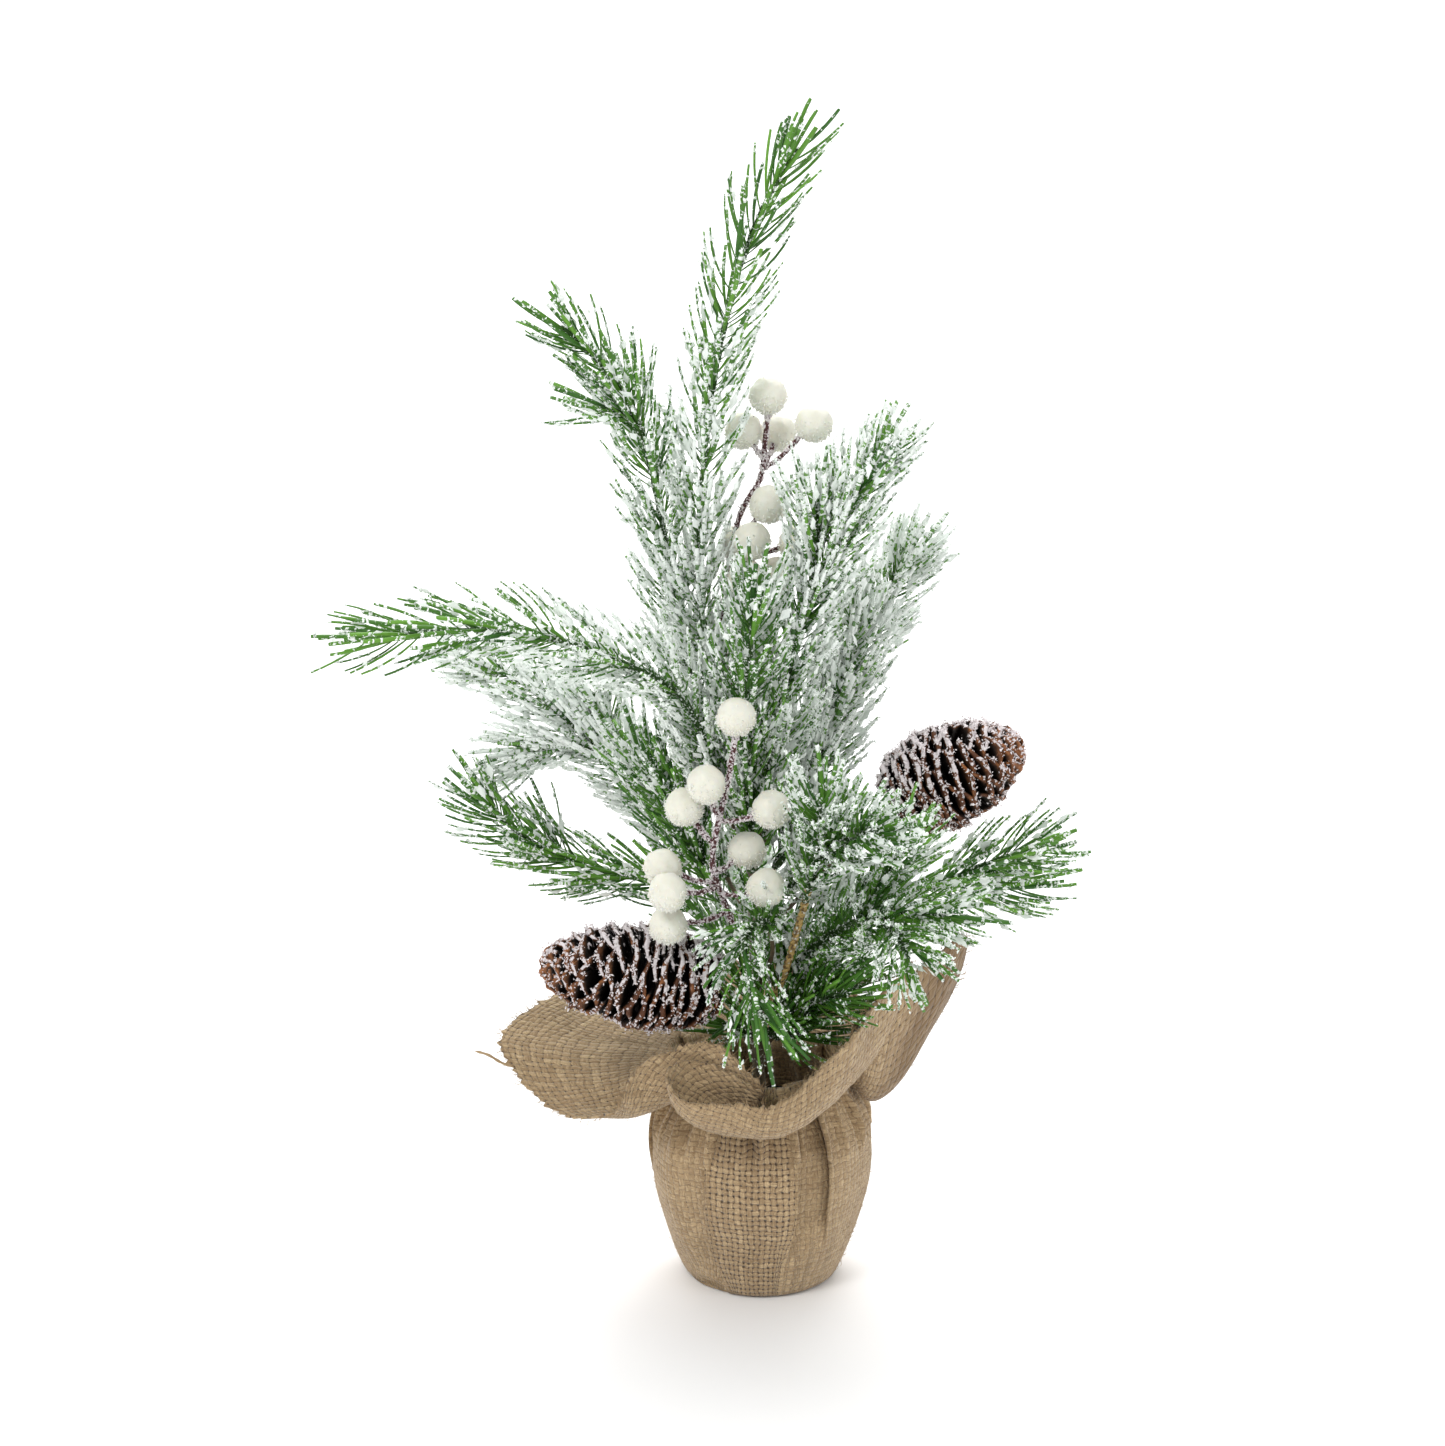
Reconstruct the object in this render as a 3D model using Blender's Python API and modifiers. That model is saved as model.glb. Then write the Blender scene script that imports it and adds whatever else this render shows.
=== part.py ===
"""Artificial tabletop tree: moulded pine sprays, cones and berries on wires, in a burlap-wrapped pot.

The frame is in metres with +Z up. Its origin is the centre of the wrap's underside, and the
front of the tree faces -Y. Places in the tables below are in millimetres, because they are
easier to read so, and each is scaled once by MM where it is used.
"""
import math

import bmesh
import bpy
import numpy as np
from mathutils import Matrix, Vector

MM = 0.001
GAP = 0.3 * MM  # room between two pieces that sit on or in each other

# Pot and weight
POT_BASE_RADIUS = 27.0 * MM
POT_TOP_RADIUS = 37.0 * MM
POT_HEIGHT = 60.0 * MM
POT_WALL = 1.5 * MM
POT_LIP = 1.2 * MM
WEIGHT_HEIGHT = 38.0 * MM
TURNING_STEPS = 24

# Burlap wrap: the bag's side from its edge on the table up to the neck
WRAP_THICKNESS = 1.2 * MM
BAG_SIDE_MM = ((28.5, 0.0), (35.0, 7.0), (40.0, 26.0), (43.2, 44.0), (41.8, 62.0), (36.5, 76.0))
NECK_RADIUS = 34.5 * MM
NECK_HEIGHT = 82.0 * MM
NECK_LIP = (37.5 * MM, 89.0 * MM)  # where the collar starts to turn outwards: radius, height
# The collar's rim and the middle of its drape, by direction round the pot from +X
COLLAR_MM = (
    # degrees, rim radius, rim height, drape radius, drape height
    (0, 80, 134, 46, 104),
    (14, 71, 110, 52, 94),
    (26, 58, 88, 46, 84),
    (44, 57, 98, 48, 92),
    (65, 60, 110, 52, 92),
    (90, 74, 100, 58, 90),
    (115, 62, 112, 52, 92),
    (140, 68, 106, 56, 92),
    (164, 88, 101, 64, 94),
    (180, 101, 95, 70, 92),
    (190, 93, 83, 68, 86),
    (204, 80, 76, 62, 82),
    (216, 69, 78, 58, 76),
    (230, 65, 92, 60, 68),
    (250, 65, 98, 62, 66),
    (270, 63, 97, 62, 66),
    (293, 63, 108, 61, 68),
    (310, 62, 119, 60, 74),
    (328, 64, 131, 56, 84),
    (345, 73, 137, 50, 96),
)
WRAP_COLUMNS = 32
COLLAR_ROWS = 5
COLLAR_DOTS = (120, 20)  # round the collar and across it, where needles are kept off it
COLLAR_ROOM = 2.5 * MM
TIE_THICKNESS = 2.0 * MM

# Trunk and wires
TRUNK_RADIUS = 2.6 * MM
TRUNK_TOP = 189.0 * MM
TRUNK_LEAN = 5.0 * MM  # how far the trunk's top stands to -X of its foot
TRUNK_STEP = 26.0 * MM  # between the rings of points that the trunk is made of
WIRE_RADIUS = 0.9 * MM
WIRE_HOLD = 8.0 * MM  # length of wire inside the sprig or cone on its end
WIRE_STEP = 7.0 * MM
SOCKET_RADIUS = 1.45 * MM
SOCKET_LEAD = 3.0 * MM  # how far the socket's cutter reaches out of the sprig
SOCKET_STEP = 4.0 * MM

# Moulded needle sprigs
RIB_RADIUS = 1.8 * MM
RIB_TIP_RADIUS = 0.9 * MM
WHORL_SPACING = 10.0 * MM
WHORL_BAND = 2.0 * MM  # length of rib that one whorl of needles grows from
FIRST_WHORL = 11.0 * MM  # from the rib's foot, clear of the wire's socket
NEEDLE_LENGTH = 22.0 * MM
NEEDLE_RIPPLE = 0.14  # share by which the needles' lengths differ from it
NEEDLE_RADIUS = 0.8 * MM
NEEDLE_LEAN = math.radians(42)  # from the rib's direction to the needle's
NEEDLE_ROOM = 0.6 * MM  # kept between a needle and anything it could meet
NEARBY = 75.0 * MM  # nothing further from a needle's foot than this can meet it
OWN_REACH = 6.0 * MM  # a needle isn't tested against its own sprig this near its foot
FIRST_ROD = 2.0 * MM  # from a bend to the first rod that stands for the wire
ROD_LENGTH = 8.0 * MM
MOST_RODS = 8000

# Cones and berries
CONE_RADIUS = 19.5 * MM
CONE_SCALE_STAND = 4.0 * MM
CONE_SHOULDER = 0.8  # under 1, the cone is widest nearer its foot than its tip
CONE_FULLNESS = 0.55  # the lower, the blunter the cone's two ends
CONE_BORE_RADIUS = 1.75 * MM
CONE_COLUMNS = 12
CONE_RINGS = 12
BERRY_RADIUS = 7.2 * MM
BERRY_STEM_RADIUS = 1.2 * MM
STALK_RADIUS = 0.8 * MM
STALK_HOLD = 2.6 * MM  # length of stalk inside a berry
BERRY_BORE_RADIUS = 1.3 * MM

# How far a wire bends at its foot, down and up in degrees, and those with less room than most
BEND_DEGREES = (-10.0, 10.0)
TIGHTER_BENDS = {
    "leader": (-5.0, 3.0),
    "front_right": (-10.0, 6.0),
    "centre_mid": (-6.0, 4.0),
    "right_mid": (-5.0, 10.0),
    "berry_stem_front": (-6.0, 4.0),
    "berry_stem_back": (-10.0, 1.0),
}

# Each branch: its route from the trunk to the tip, the length of bare wire before the
# needles start, and the routes of its side shoots. The first point is the bend at the trunk.
BRANCHES_MM = {
    "leader": (
        [(-5, 0, 193), (-10, 2, 215), (-23, 5, 265), (-22, 5, 319), (-16, 2, 364),
         (-6, 0, 402), (4, 0, 424), (12, 0, 437)], 12, []),
    "upper_left": (
        [(-8.6, 3.4, 182), (-19, 12, 212), (-31, 17, 252), (-37, 14, 292), (-46, 8, 335),
         (-60, 5, 358), (-74, 0, 373)], 14,
        [[(-47, 8, 336), (-58, 8, 343), (-73, 8, 347)],
         [(-45, 8, 331), (-44, 9, 345), (-41, 10, 358)]]),
    "left_long": (
        [(-8.6, -3.2, 174), (-16, -12, 200), (-30, -22, 238), (-60, -32, 257), (-88, -38, 267),
         (-117, -42, 268), (-144, -45, 266)], 14, []),
    "left_mid": (
        [(-8, 3.4, 150), (-20, 20, 166), (-39, 30, 181), (-67, 45, 203), (-91, 55, 222),
         (-115, 60, 233)], 12,
        [[(-65, 44, 201), (-79, 50, 200), (-95, 56, 196)],
         [(-48, 35, 188), (-56, 42, 204), (-66, 48, 222)]]),
    "left_low": (
        [(-7, 4.2, 127), (-22, 18, 138), (-40, 30, 149), (-71, 38, 154), (-95, 42, 166),
         (-112, 45, 181)], 12,
        [[(-69, 38, 154), (-82, 38, 163), (-90, 38, 176)]]),
    "left_inner": (
        [(-8, -2.4, 142), (-20, 2, 158), (-30, 5, 176), (-41, 6, 197), (-47, 8, 208)], 12, []),
    "right_upper": (
        [(-1.6, -3.4, 176), (4, -9, 213), (12, -12, 255), (25, -10, 288), (33, -8, 310),
         (44, -8, 328)], 14,
        [[(19, -11, 273), (20, -12, 293), (19, -12, 310)]]),
    "right_back": (
        [(-0.6, 3.6, 167), (8, 16, 198), (23, 30, 224), (38, 40, 246), (50, 45, 265),
         (58, 45, 279)], 12, []),
    "right_mid": (
        [(0.4, 3.6, 152), (14, 14, 184), (27, 20, 216), (34, 24, 244), (35, 27, 263)], 12, []),
    "right_far": (
        [(1, 3.6, 124), (14, 9, 137), (30, 12, 149), (65, 14, 153), (86, 11, 163),
         (107, 7, 172)], 12,
        [[(69, 13, 154), (86, 16, 152), (103, 18, 155)]]),
    "right_low": (
        [(3.2, -1.5, 118), (16, -10, 133), (27, -24, 147), (43, -49, 163), (67, -65, 168)], 12,
        [[(42, -49, 162), (47, -67, 162), (52, -84, 158)]]),
    "front_right": (
        [(0.6, -4.1, 106), (8, -18, 127), (16, -35, 164), (21, -50, 186), (31, -72, 199),
         (40, -90, 208)], 66,
        [[(21, -50, 186), (18, -60, 200), (16, -69, 213)]]),
    "front_low": (
        [(-0.6, -4.4, 120), (4, -18, 138), (0, -42, 158), (-7, -60, 156), (-4, -75, 141),
         (6, -83, 122), (11, -85, 110)], 30, []),
    "front_inner": (
        [(2, -3, 94), (10, -13, 108), (21, -26, 121), (33, -38, 128)], 10, []),
    "centre_mid": (
        [(-3.6, -4.3, 154), (-4, -11, 186), (-7, -21, 224), (-5, -28, 256), (-3, -29, 280)], 12, []),
    "back_upper": (
        [(-3.6, 4.2, 160), (-4, 20, 190), (-4, 38, 222), (-5, 50, 252)], 12, []),
    "back_low": (
        [(-2.8, 4.2, 108), (-4, 28, 130), (-7, 58, 146), (-9, 86, 152)], 12, []),
}

# Each cone: its wire's route to the cone's foot, and the middle of the cone's tip
CONES_MM = {
    "cone_left": ([(-5.8, -2.6, 110), (-11, -16, 119), (-16, -30, 128)], (-81, -45, 142)),
    "cone_right": ([(1.2, -0.6, 138), (20, 0, 160), (36, 0, 178), (48, 0, 191)], (95, -5, 215)),
}

# Each berry pick: its stem's route to the top berry's underside, the top berry, and the others
# as (the place on the stem where the stalk leaves, the berry's centre)
PICKS_MM = {
    "front": (
        [(-2.4, -5, 100), (-5, -19, 130), (-13, -31, 158), (-18.5, -39, 178), (-17, -43, 194),
         (-13, -42, 212), (-10, -44.4, 230)],
        (-10, -45, 237),
        [((-16, -43, 198), (-21, -50, 213)), ((-18, -42, 188), (-29, -42, 202)),
         ((-16.4, -43, 197), (3, -45, 202)), ((-18.5, -39, 176), (-6, -34, 183)),
         ((-15.6, -34, 166), (1, -48, 173)), ((-17, -36, 171), (-37, -46, 180)),
         ((-16.4, -35, 169), (-35, -60, 175)), ((-13, -31, 158), (-35, -50, 159))]),
    "back": (
        [(-2, 3.4, 182), (-8, 11, 215), (-14, 13, 245), (-14, 13, 268), (-9, 14, 298),
         (-1, 16, 313), (1, 16.4, 328), (2, 15.4, 338)],
        (2, 15, 345),
        [((0, 16, 317), (19, 12, 335)), ((-11, 14, 290), (2, 8, 305)),
         ((0, 16, 318), (6, 31, 328)), ((-14, 13, 266), (-6, 2, 278)),
         ((-12, 13.6, 284), (13, 14, 289))]),
}

MATERIALS = {
    # name: (red, green, blue), roughness, metallic
    "pot": ((0.12, 0.12, 0.12), 0.5, 0.0),
    "plaster": ((0.75, 0.74, 0.70), 0.9, 0.0),
    "burlap": ((0.30, 0.20, 0.11), 0.95, 0.0),
    "tie": ((0.36, 0.25, 0.14), 0.9, 0.0),
    "trunk": ((0.20, 0.17, 0.12), 0.45, 0.0),
    "wire": ((0.35, 0.22, 0.09), 0.6, 0.0),
    "needles": ((0.10, 0.25, 0.10), 0.6, 0.0),
    "cone": ((0.14, 0.06, 0.03), 0.8, 0.0),
    "stem": ((0.16, 0.08, 0.08), 0.9, 0.0),
    "berry": ((0.85, 0.84, 0.74), 0.7, 0.0),
}


# ---------------------------------------------------------------- routes

class Route:
    """A smooth curve through a few points in millimetres, read by the distance along it in metres."""

    def __init__(self, points_mm):
        knots = [Vector(point) * MM for point in points_mm]
        ends = [2 * knots[0] - knots[1], 2 * knots[-1] - knots[-2]]
        padded = [ends[0], *knots, ends[1]]
        line = [knots[0]]
        for before, start, stop, after in zip(padded, padded[1:], padded[2:], padded[3:]):
            for step in range(1, 25):
                line.append(catmull_rom(before, start, stop, after, step / 24))
        self.points = np.array(line)
        steps = np.linalg.norm(np.diff(self.points, axis=0), axis=1)
        self.distances = np.concatenate([[0.0], np.cumsum(steps)])
        self.length = float(self.distances[-1])

    def at(self, distance):
        return Vector([float(np.interp(distance, self.distances, self.points[:, i])) for i in range(3)])

    def direction(self, distance):
        reach = 1.0 * MM
        low = max(distance - reach, 0.0)
        high = min(distance + reach, self.length)
        return (self.at(high) - self.at(low)).normalized()


def catmull_rom(before, start, stop, after, t):
    lean_in = (stop - before) / 2
    lean_out = (after - start) / 2
    return (
        start * (2 * t**3 - 3 * t**2 + 1)
        + lean_in * (t**3 - 2 * t**2 + t)
        + stop * (3 * t**2 - 2 * t**3)
        + lean_out * (t**3 - t**2)
    )


def even_stations(start, stop, spacing):
    count = max(2, round((stop - start) / spacing) + 1)
    return list(np.linspace(start, stop, count))


# ---------------------------------------------------------------- Blender helpers

def make_materials():
    made = {}
    for name, (colour, roughness, metallic) in MATERIALS.items():
        material = bpy.data.materials.new(name)
        material.use_nodes = True
        shader = material.node_tree.nodes["Principled BSDF"]
        shader.inputs["Base Color"].default_value = (*colour, 1.0)
        shader.inputs["Roughness"].default_value = roughness
        shader.inputs["Metallic"].default_value = metallic
        material.diffuse_color = (*colour, 1.0)
        made[name] = material
    return made


def add_object(name, data, collection, material=None):
    thing = bpy.data.objects.new(name, data)
    collection.objects.link(thing)
    if material:
        data.materials.append(material)
    return thing


def shade_round(mesh):
    mesh.shade_smooth()
    mesh.set_sharp_from_angle(angle=math.radians(40))


def tube_mesh(name, points, radius, scales=None, resolution=1):
    """A closed round tube through the points, made as a curve and turned into a welded mesh."""
    curve = bpy.data.curves.new(name, "CURVE")
    curve.dimensions = "3D"
    curve.bevel_depth = radius
    curve.bevel_resolution = resolution
    curve.use_fill_caps = True
    spline = curve.splines.new("POLY")
    spline.points.add(len(points) - 1)
    for i, (place, point) in enumerate(zip(points, spline.points)):
        point.co = (*place, 1.0)
        point.radius = scales[i] if scales else 1.0
    guide = bpy.data.objects.new(name + "_curve", curve)
    bpy.context.scene.collection.objects.link(guide)
    depsgraph = bpy.context.evaluated_depsgraph_get()
    mesh = bpy.data.meshes.new_from_object(guide.evaluated_get(depsgraph))
    bpy.data.objects.remove(guide)
    shape = bmesh.new()
    shape.from_mesh(mesh)
    bmesh.ops.remove_doubles(shape, verts=shape.verts, dist=0.01 * MM)
    bmesh.ops.recalc_face_normals(shape, faces=shape.faces)
    shape.to_mesh(mesh)
    shape.free()
    mesh.name = name
    return mesh


def cutter_from(name, mesh, cutters):
    cutter = add_object(name, mesh, cutters)
    cutter.hide_render = True
    cutter.display_type = "WIRE"
    return cutter


def cut_or_join(piece, other, operation):
    modifier = piece.modifiers.new(other.name, "BOOLEAN")
    modifier.operation = operation
    modifier.solver = "EXACT"
    modifier.object = other


def turned(name, profile, closed, collection, material, steps=TURNING_STEPS):
    """A body turned round Z from (radius, height) points that run down its outer side."""
    count = len(profile)
    edges = [(i, i + 1) for i in range(count - 1)]
    if closed:
        edges.append((count - 1, 0))
    mesh = bpy.data.meshes.new(name)
    mesh.from_pydata([(radius, 0.0, height) for radius, height in profile], edges, [])
    piece = add_object(name, mesh, collection, material)
    screw = piece.modifiers.new("turn", "SCREW")
    screw.steps = steps
    screw.render_steps = steps
    screw.use_merge_vertices = True
    screw.merge_threshold = 0.05 * MM
    return piece


def pivot_at(name, place, collection):
    pivot = bpy.data.objects.new(name + "_bend", None)
    pivot.location = place
    pivot.empty_display_size = 5 * MM
    collection.objects.link(pivot)
    return pivot


def hang_on(pivot, piece):
    """Parents a piece to the pivot and leaves it where it is in the world."""
    piece.parent = pivot
    piece.location = piece.location - pivot.location


# ---------------------------------------------------------------- base: pot, weight, wrap, tie, trunk

POT_FLOOR = WRAP_THICKNESS + GAP


def pot_radius(height):
    """Outer radius of the pot at a height over the table."""
    share = (height - POT_FLOOR) / POT_HEIGHT
    return POT_BASE_RADIUS + (POT_TOP_RADIUS - POT_BASE_RADIUS) * share


def make_pot(tree, materials):
    top = POT_FLOOR + POT_HEIGHT
    inner_floor = POT_FLOOR + POT_WALL
    profile = [
        (0.0, inner_floor),
        (pot_radius(inner_floor) - POT_WALL, inner_floor),
        (pot_radius(top) - POT_WALL, top),
        (pot_radius(top) + POT_LIP, top),
        (pot_radius(top) + POT_LIP, top - 2 * POT_LIP),
        (pot_radius(top - 3 * POT_LIP), top - 3 * POT_LIP),
        (pot_radius(POT_FLOOR), POT_FLOOR),
        (0.0, POT_FLOOR),
    ]
    return turned("pot", profile, False, tree, materials["pot"])


def make_weight(tree, materials):
    floor = POT_FLOOR + POT_WALL + GAP
    top = floor + WEIGHT_HEIGHT
    room = POT_WALL + 2 * GAP
    hole = TRUNK_RADIUS + 2 * GAP
    profile = [
        (hole, floor),
        (hole, top),
        (pot_radius(top) - room, top),
        (pot_radius(floor) - room, floor),
    ]
    return turned("weight", profile, True, tree, materials["plaster"])


def trunk_place(height):
    """The trunk's centre at a height: it leans a little to -X."""
    return Vector((-TRUNK_LEAN * (height / TRUNK_TOP) ** 2, 0.0, height))


def make_trunk(tree, materials):
    foot = POT_FLOOR + POT_WALL + GAP
    points = [trunk_place(height) for height in even_stations(foot, TRUNK_TOP, TRUNK_STEP)]
    mesh = tube_mesh("trunk", points, TRUNK_RADIUS, resolution=2)
    shade_round(mesh)
    return add_object("trunk", mesh, tree, materials["trunk"])


def collar_values(angle):
    """Rim radius, rim height, drape radius and drape height at an angle, joined smoothly."""
    degrees = math.degrees(angle) % 360
    rows = list(COLLAR_MM)
    after = next((i for i, row in enumerate(rows) if row[0] > degrees), len(rows))
    picked = [rows[(after + shift) % len(rows)] for shift in (-2, -1, 0, 1)]
    start = picked[1][0]
    width = (picked[2][0] - start) % 360
    t = ((degrees - start) % 360) / width
    knots = [Vector(row[1:]) * MM for row in picked]
    return catmull_rom(*knots, t)


def collar_point(angle, t):
    """A point on the collar, from its lip at t 0 to its rim at t 1."""
    rim_radius, rim_height, drape_radius, drape_height = collar_values(angle)
    lip = Vector(NECK_LIP)
    drape = Vector((drape_radius, drape_height))
    rim = Vector((rim_radius, rim_height))
    radius, height = (1 - t) ** 2 * lip + 2 * t * (1 - t) * drape + t**2 * rim
    return Vector((radius * math.cos(angle), radius * math.sin(angle), height))


def make_wrap(tree, materials):
    """The wrap is lofted: round rings up to the neck, then rings that open out into the collar."""
    angles = [2 * math.pi * i / WRAP_COLUMNS for i in range(WRAP_COLUMNS)]
    side = [(radius * MM, height * MM) for radius, height in BAG_SIDE_MM]
    side += [(NECK_RADIUS, NECK_HEIGHT), NECK_LIP]
    rows = [[Vector((r * math.cos(a), r * math.sin(a), z)) for a in angles] for r, z in side]
    for row in range(1, COLLAR_ROWS + 1):
        rows.append([collar_point(a, row / COLLAR_ROWS) for a in angles])
    shape = bmesh.new()
    rings = [[shape.verts.new(place) for place in row] for row in rows]
    shape.faces.new(list(reversed(rings[0])))
    for lower, upper in zip(rings, rings[1:]):
        for i in range(WRAP_COLUMNS):
            j = (i + 1) % WRAP_COLUMNS
            shape.faces.new((lower[i], lower[j], upper[j], upper[i]))
    mesh = bpy.data.meshes.new("burlap_wrap")
    shape.to_mesh(mesh)
    shape.free()
    shade_round(mesh)
    wrap = add_object("burlap_wrap", mesh, tree, materials["burlap"])
    shell = wrap.modifiers.new("cloth", "SOLIDIFY")
    shell.thickness = WRAP_THICKNESS
    shell.offset = -1.0
    shell.use_even_offset = True
    return wrap


def make_tie(tree, materials):
    bpy.ops.mesh.primitive_torus_add(
        major_segments=TURNING_STEPS,
        minor_segments=6,
        major_radius=NECK_RADIUS + 2 * GAP + TIE_THICKNESS / 2,
        minor_radius=TIE_THICKNESS / 2,
        location=(0.0, 0.0, NECK_HEIGHT),
    )
    tie = bpy.context.object
    tie.name = "neck_tie"
    for holder in list(tie.users_collection):
        holder.objects.unlink(tie)
    tree.objects.link(tie)
    tie.data.materials.append(materials["tie"])
    shade_round(tie.data)
    return tie


# ---------------------------------------------------------------- bends

class Bend:
    """Where and how a wire bends at its foot: a level axis, and a positive bend lifts the wire."""

    def __init__(self, name, route, upright=False):
        self.place = route.at(0.0)
        reach = route.at(route.length) - self.place
        reach.z = 0.0
        self.axis = Vector((0, 1, 0)) if upright else reach.normalized().cross(Vector((0, 0, 1)))
        self.degrees = TIGHTER_BENDS.get(name, BEND_DEGREES)

    def turned(self, points, share):
        """Points, one to a row, bent by a share of the way up, or of the way down if it's negative."""
        degrees = share * self.degrees[1] if share > 0 else -share * self.degrees[0]
        turn = np.array(Matrix.Rotation(math.radians(degrees), 3, self.axis))
        place = np.array(self.place)
        return (points - place) @ turn.T + place


BEND_SHARES = (-1.0, -0.5, 0.0, 0.5, 1.0)
# Each needle is tried with its own wire bent and the rest still, the other way round, and
# with every wire at the same limit
BENT_TOGETHER = [(share, 0.0) for share in BEND_SHARES]
BENT_TOGETHER += [(0.0, share) for share in BEND_SHARES if share]
BENT_TOGETHER += [(-1.0, -1.0), (1.0, 1.0)]


class Room:
    """Every thin piece as rods with a radius, to keep the needles clear of them at every bend."""

    def __init__(self):
        self.count = 0
        self.owners = np.zeros(MOST_RODS, dtype=int)
        self.radii = np.zeros(MOST_RODS)
        self.rods = {share: np.zeros((MOST_RODS, 2, 3)) for share in BEND_SHARES}
        self.names = {}

    def add(self, owner, bend, start, end, radius):
        rod = np.array([start, end])
        self.owners[self.count] = self.names.setdefault(owner, len(self.names))
        self.radii[self.count] = radius
        for share in BEND_SHARES:
            self.rods[share][self.count] = bend.turned(rod, share) if bend else rod
        self.count += 1

    def add_line(self, owner, bend, points, radius):
        for start, end in zip(points, points[1:]):
            self.add(owner, bend, start, end, radius)

    def nearby(self, start, reach):
        """Which rods come within reach of a point, with nothing bent."""
        rods = self.rods[0.0][:self.count]
        away = np.minimum(
            np.linalg.norm(rods[:, 0] - start, axis=1), np.linalg.norm(rods[:, 1] - start, axis=1)
        )
        return np.flatnonzero(away - self.radii[:self.count] < reach)

    def clear(self, owner, bend, start, end, radius):
        """True if a rod keeps clear of all others, and of its owner's away from its foot."""
        rod = np.array([start, end])
        near = self.nearby(rod[0], NEARBY)
        number = self.names[owner]
        others = near[self.owners[near] != number]
        room_taken = self.radii[others] + radius + NEEDLE_ROOM
        for own_share, other_share in BENT_TOGETHER:
            placed = bend.turned(rod, own_share)
            theirs = self.rods[other_share][others]
            if np.any(rod_distances(placed[0], placed[1], theirs[:, 0], theirs[:, 1]) < room_taken):
                return False
        own = near[self.owners[near] == number]
        feet = self.rods[0.0][own]
        own = own[np.linalg.norm(feet - rod[0], axis=2).min(axis=1) > OWN_REACH]
        mine = self.rods[0.0][own]
        gaps = rod_distances(rod[0], rod[1], mine[:, 0], mine[:, 1]) - self.radii[own] - radius
        return bool(np.all(gaps > NEEDLE_ROOM / 2))


def rod_distances(start, end, starts, ends):
    """Distance from one straight rod to each of many."""
    own = end - start
    theirs = ends - starts
    between = start - starts
    own_square = float(own @ own)
    their_square = np.einsum("ij,ij->i", theirs, theirs) + 1e-15
    their_lead = np.einsum("ij,ij->i", theirs, between)
    own_lead = between @ own
    cross = theirs @ own
    spread = own_square * their_square - cross**2
    s = np.clip((cross * their_lead - own_lead * their_square) / (spread + 1e-24), 0.0, 1.0)
    t = np.clip((cross * s + their_lead) / their_square, 0.0, 1.0)
    s = np.clip((cross * t - own_lead) / own_square, 0.0, 1.0)
    gap = between + s[:, None] * own - t[:, None] * theirs
    return np.linalg.norm(gap, axis=1)


# ---------------------------------------------------------------- sprigs

class Rib:
    """A sprig's round stem, with narrow bands that needles grow from."""

    def __init__(self, name, route, start, first_whorl):
        self.name = name
        self.route = route
        self.start = start
        last = route.length - WHORL_BAND
        count = int((last - start - first_whorl) / WHORL_SPACING) + 1
        self.whorls = [last - WHORL_SPACING * i for i in reversed(range(count))]
        stations = [start]
        for middle in self.whorls:
            stations += [middle - WHORL_BAND / 2, middle + WHORL_BAND / 2]
        self.stations = stations
        self.points = [route.at(station) for station in stations]
        taper = RIB_TIP_RADIUS / RIB_RADIUS - 1
        scales = [1 + taper * (station - start) / (route.length - start) for station in stations]
        self.mesh = tube_mesh(name, self.points, RIB_RADIUS, scales)

    def needle_faces(self):
        """The needles that could grow: whorl number, a face's centre, and the needle's tip."""
        found = []
        middles = np.array([self.route.at(middle) for middle in self.whorls])
        for face in self.mesh.polygons:
            if len(face.vertices) != 4:
                continue
            centre = np.array(face.center)
            distances = np.linalg.norm(middles - centre, axis=1)
            whorl = int(np.argmin(distances))
            if distances[whorl] > RIB_RADIUS * 1.1:
                continue
            along = self.route.direction(self.whorls[whorl])
            share = whorl / max(1, len(self.whorls) - 1)
            lean = NEEDLE_LEAN * (1.1 - 0.45 * share**2)
            ripple = math.sin(2.4 * face.index + 1.7 * whorl)
            length = NEEDLE_LENGTH * (1.0 + NEEDLE_RIPPLE * ripple)
            way = face.normal * math.sin(lean) + along * math.cos(lean)
            found.append((whorl, Vector(centre), Vector(centre) + way.normalized() * length))
        return found

    def grow(self, needles):
        """Draws each needle out of its face of the rib, as a spike that ends at its tip."""
        shape = bmesh.new()
        shape.from_mesh(self.mesh)
        wanted = {tuple(round(v / (0.01 * MM)) for v in centre): tip for centre, tip in needles}
        for face in list(shape.faces):
            key = tuple(round(v / (0.01 * MM)) for v in face.calc_center_median())
            if len(face.verts) == 4 and key in wanted:
                poked = bmesh.ops.poke(shape, faces=[face])
                poked["verts"][0].co = wanted[key]
        shape.to_mesh(self.mesh)
        shape.free()


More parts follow.
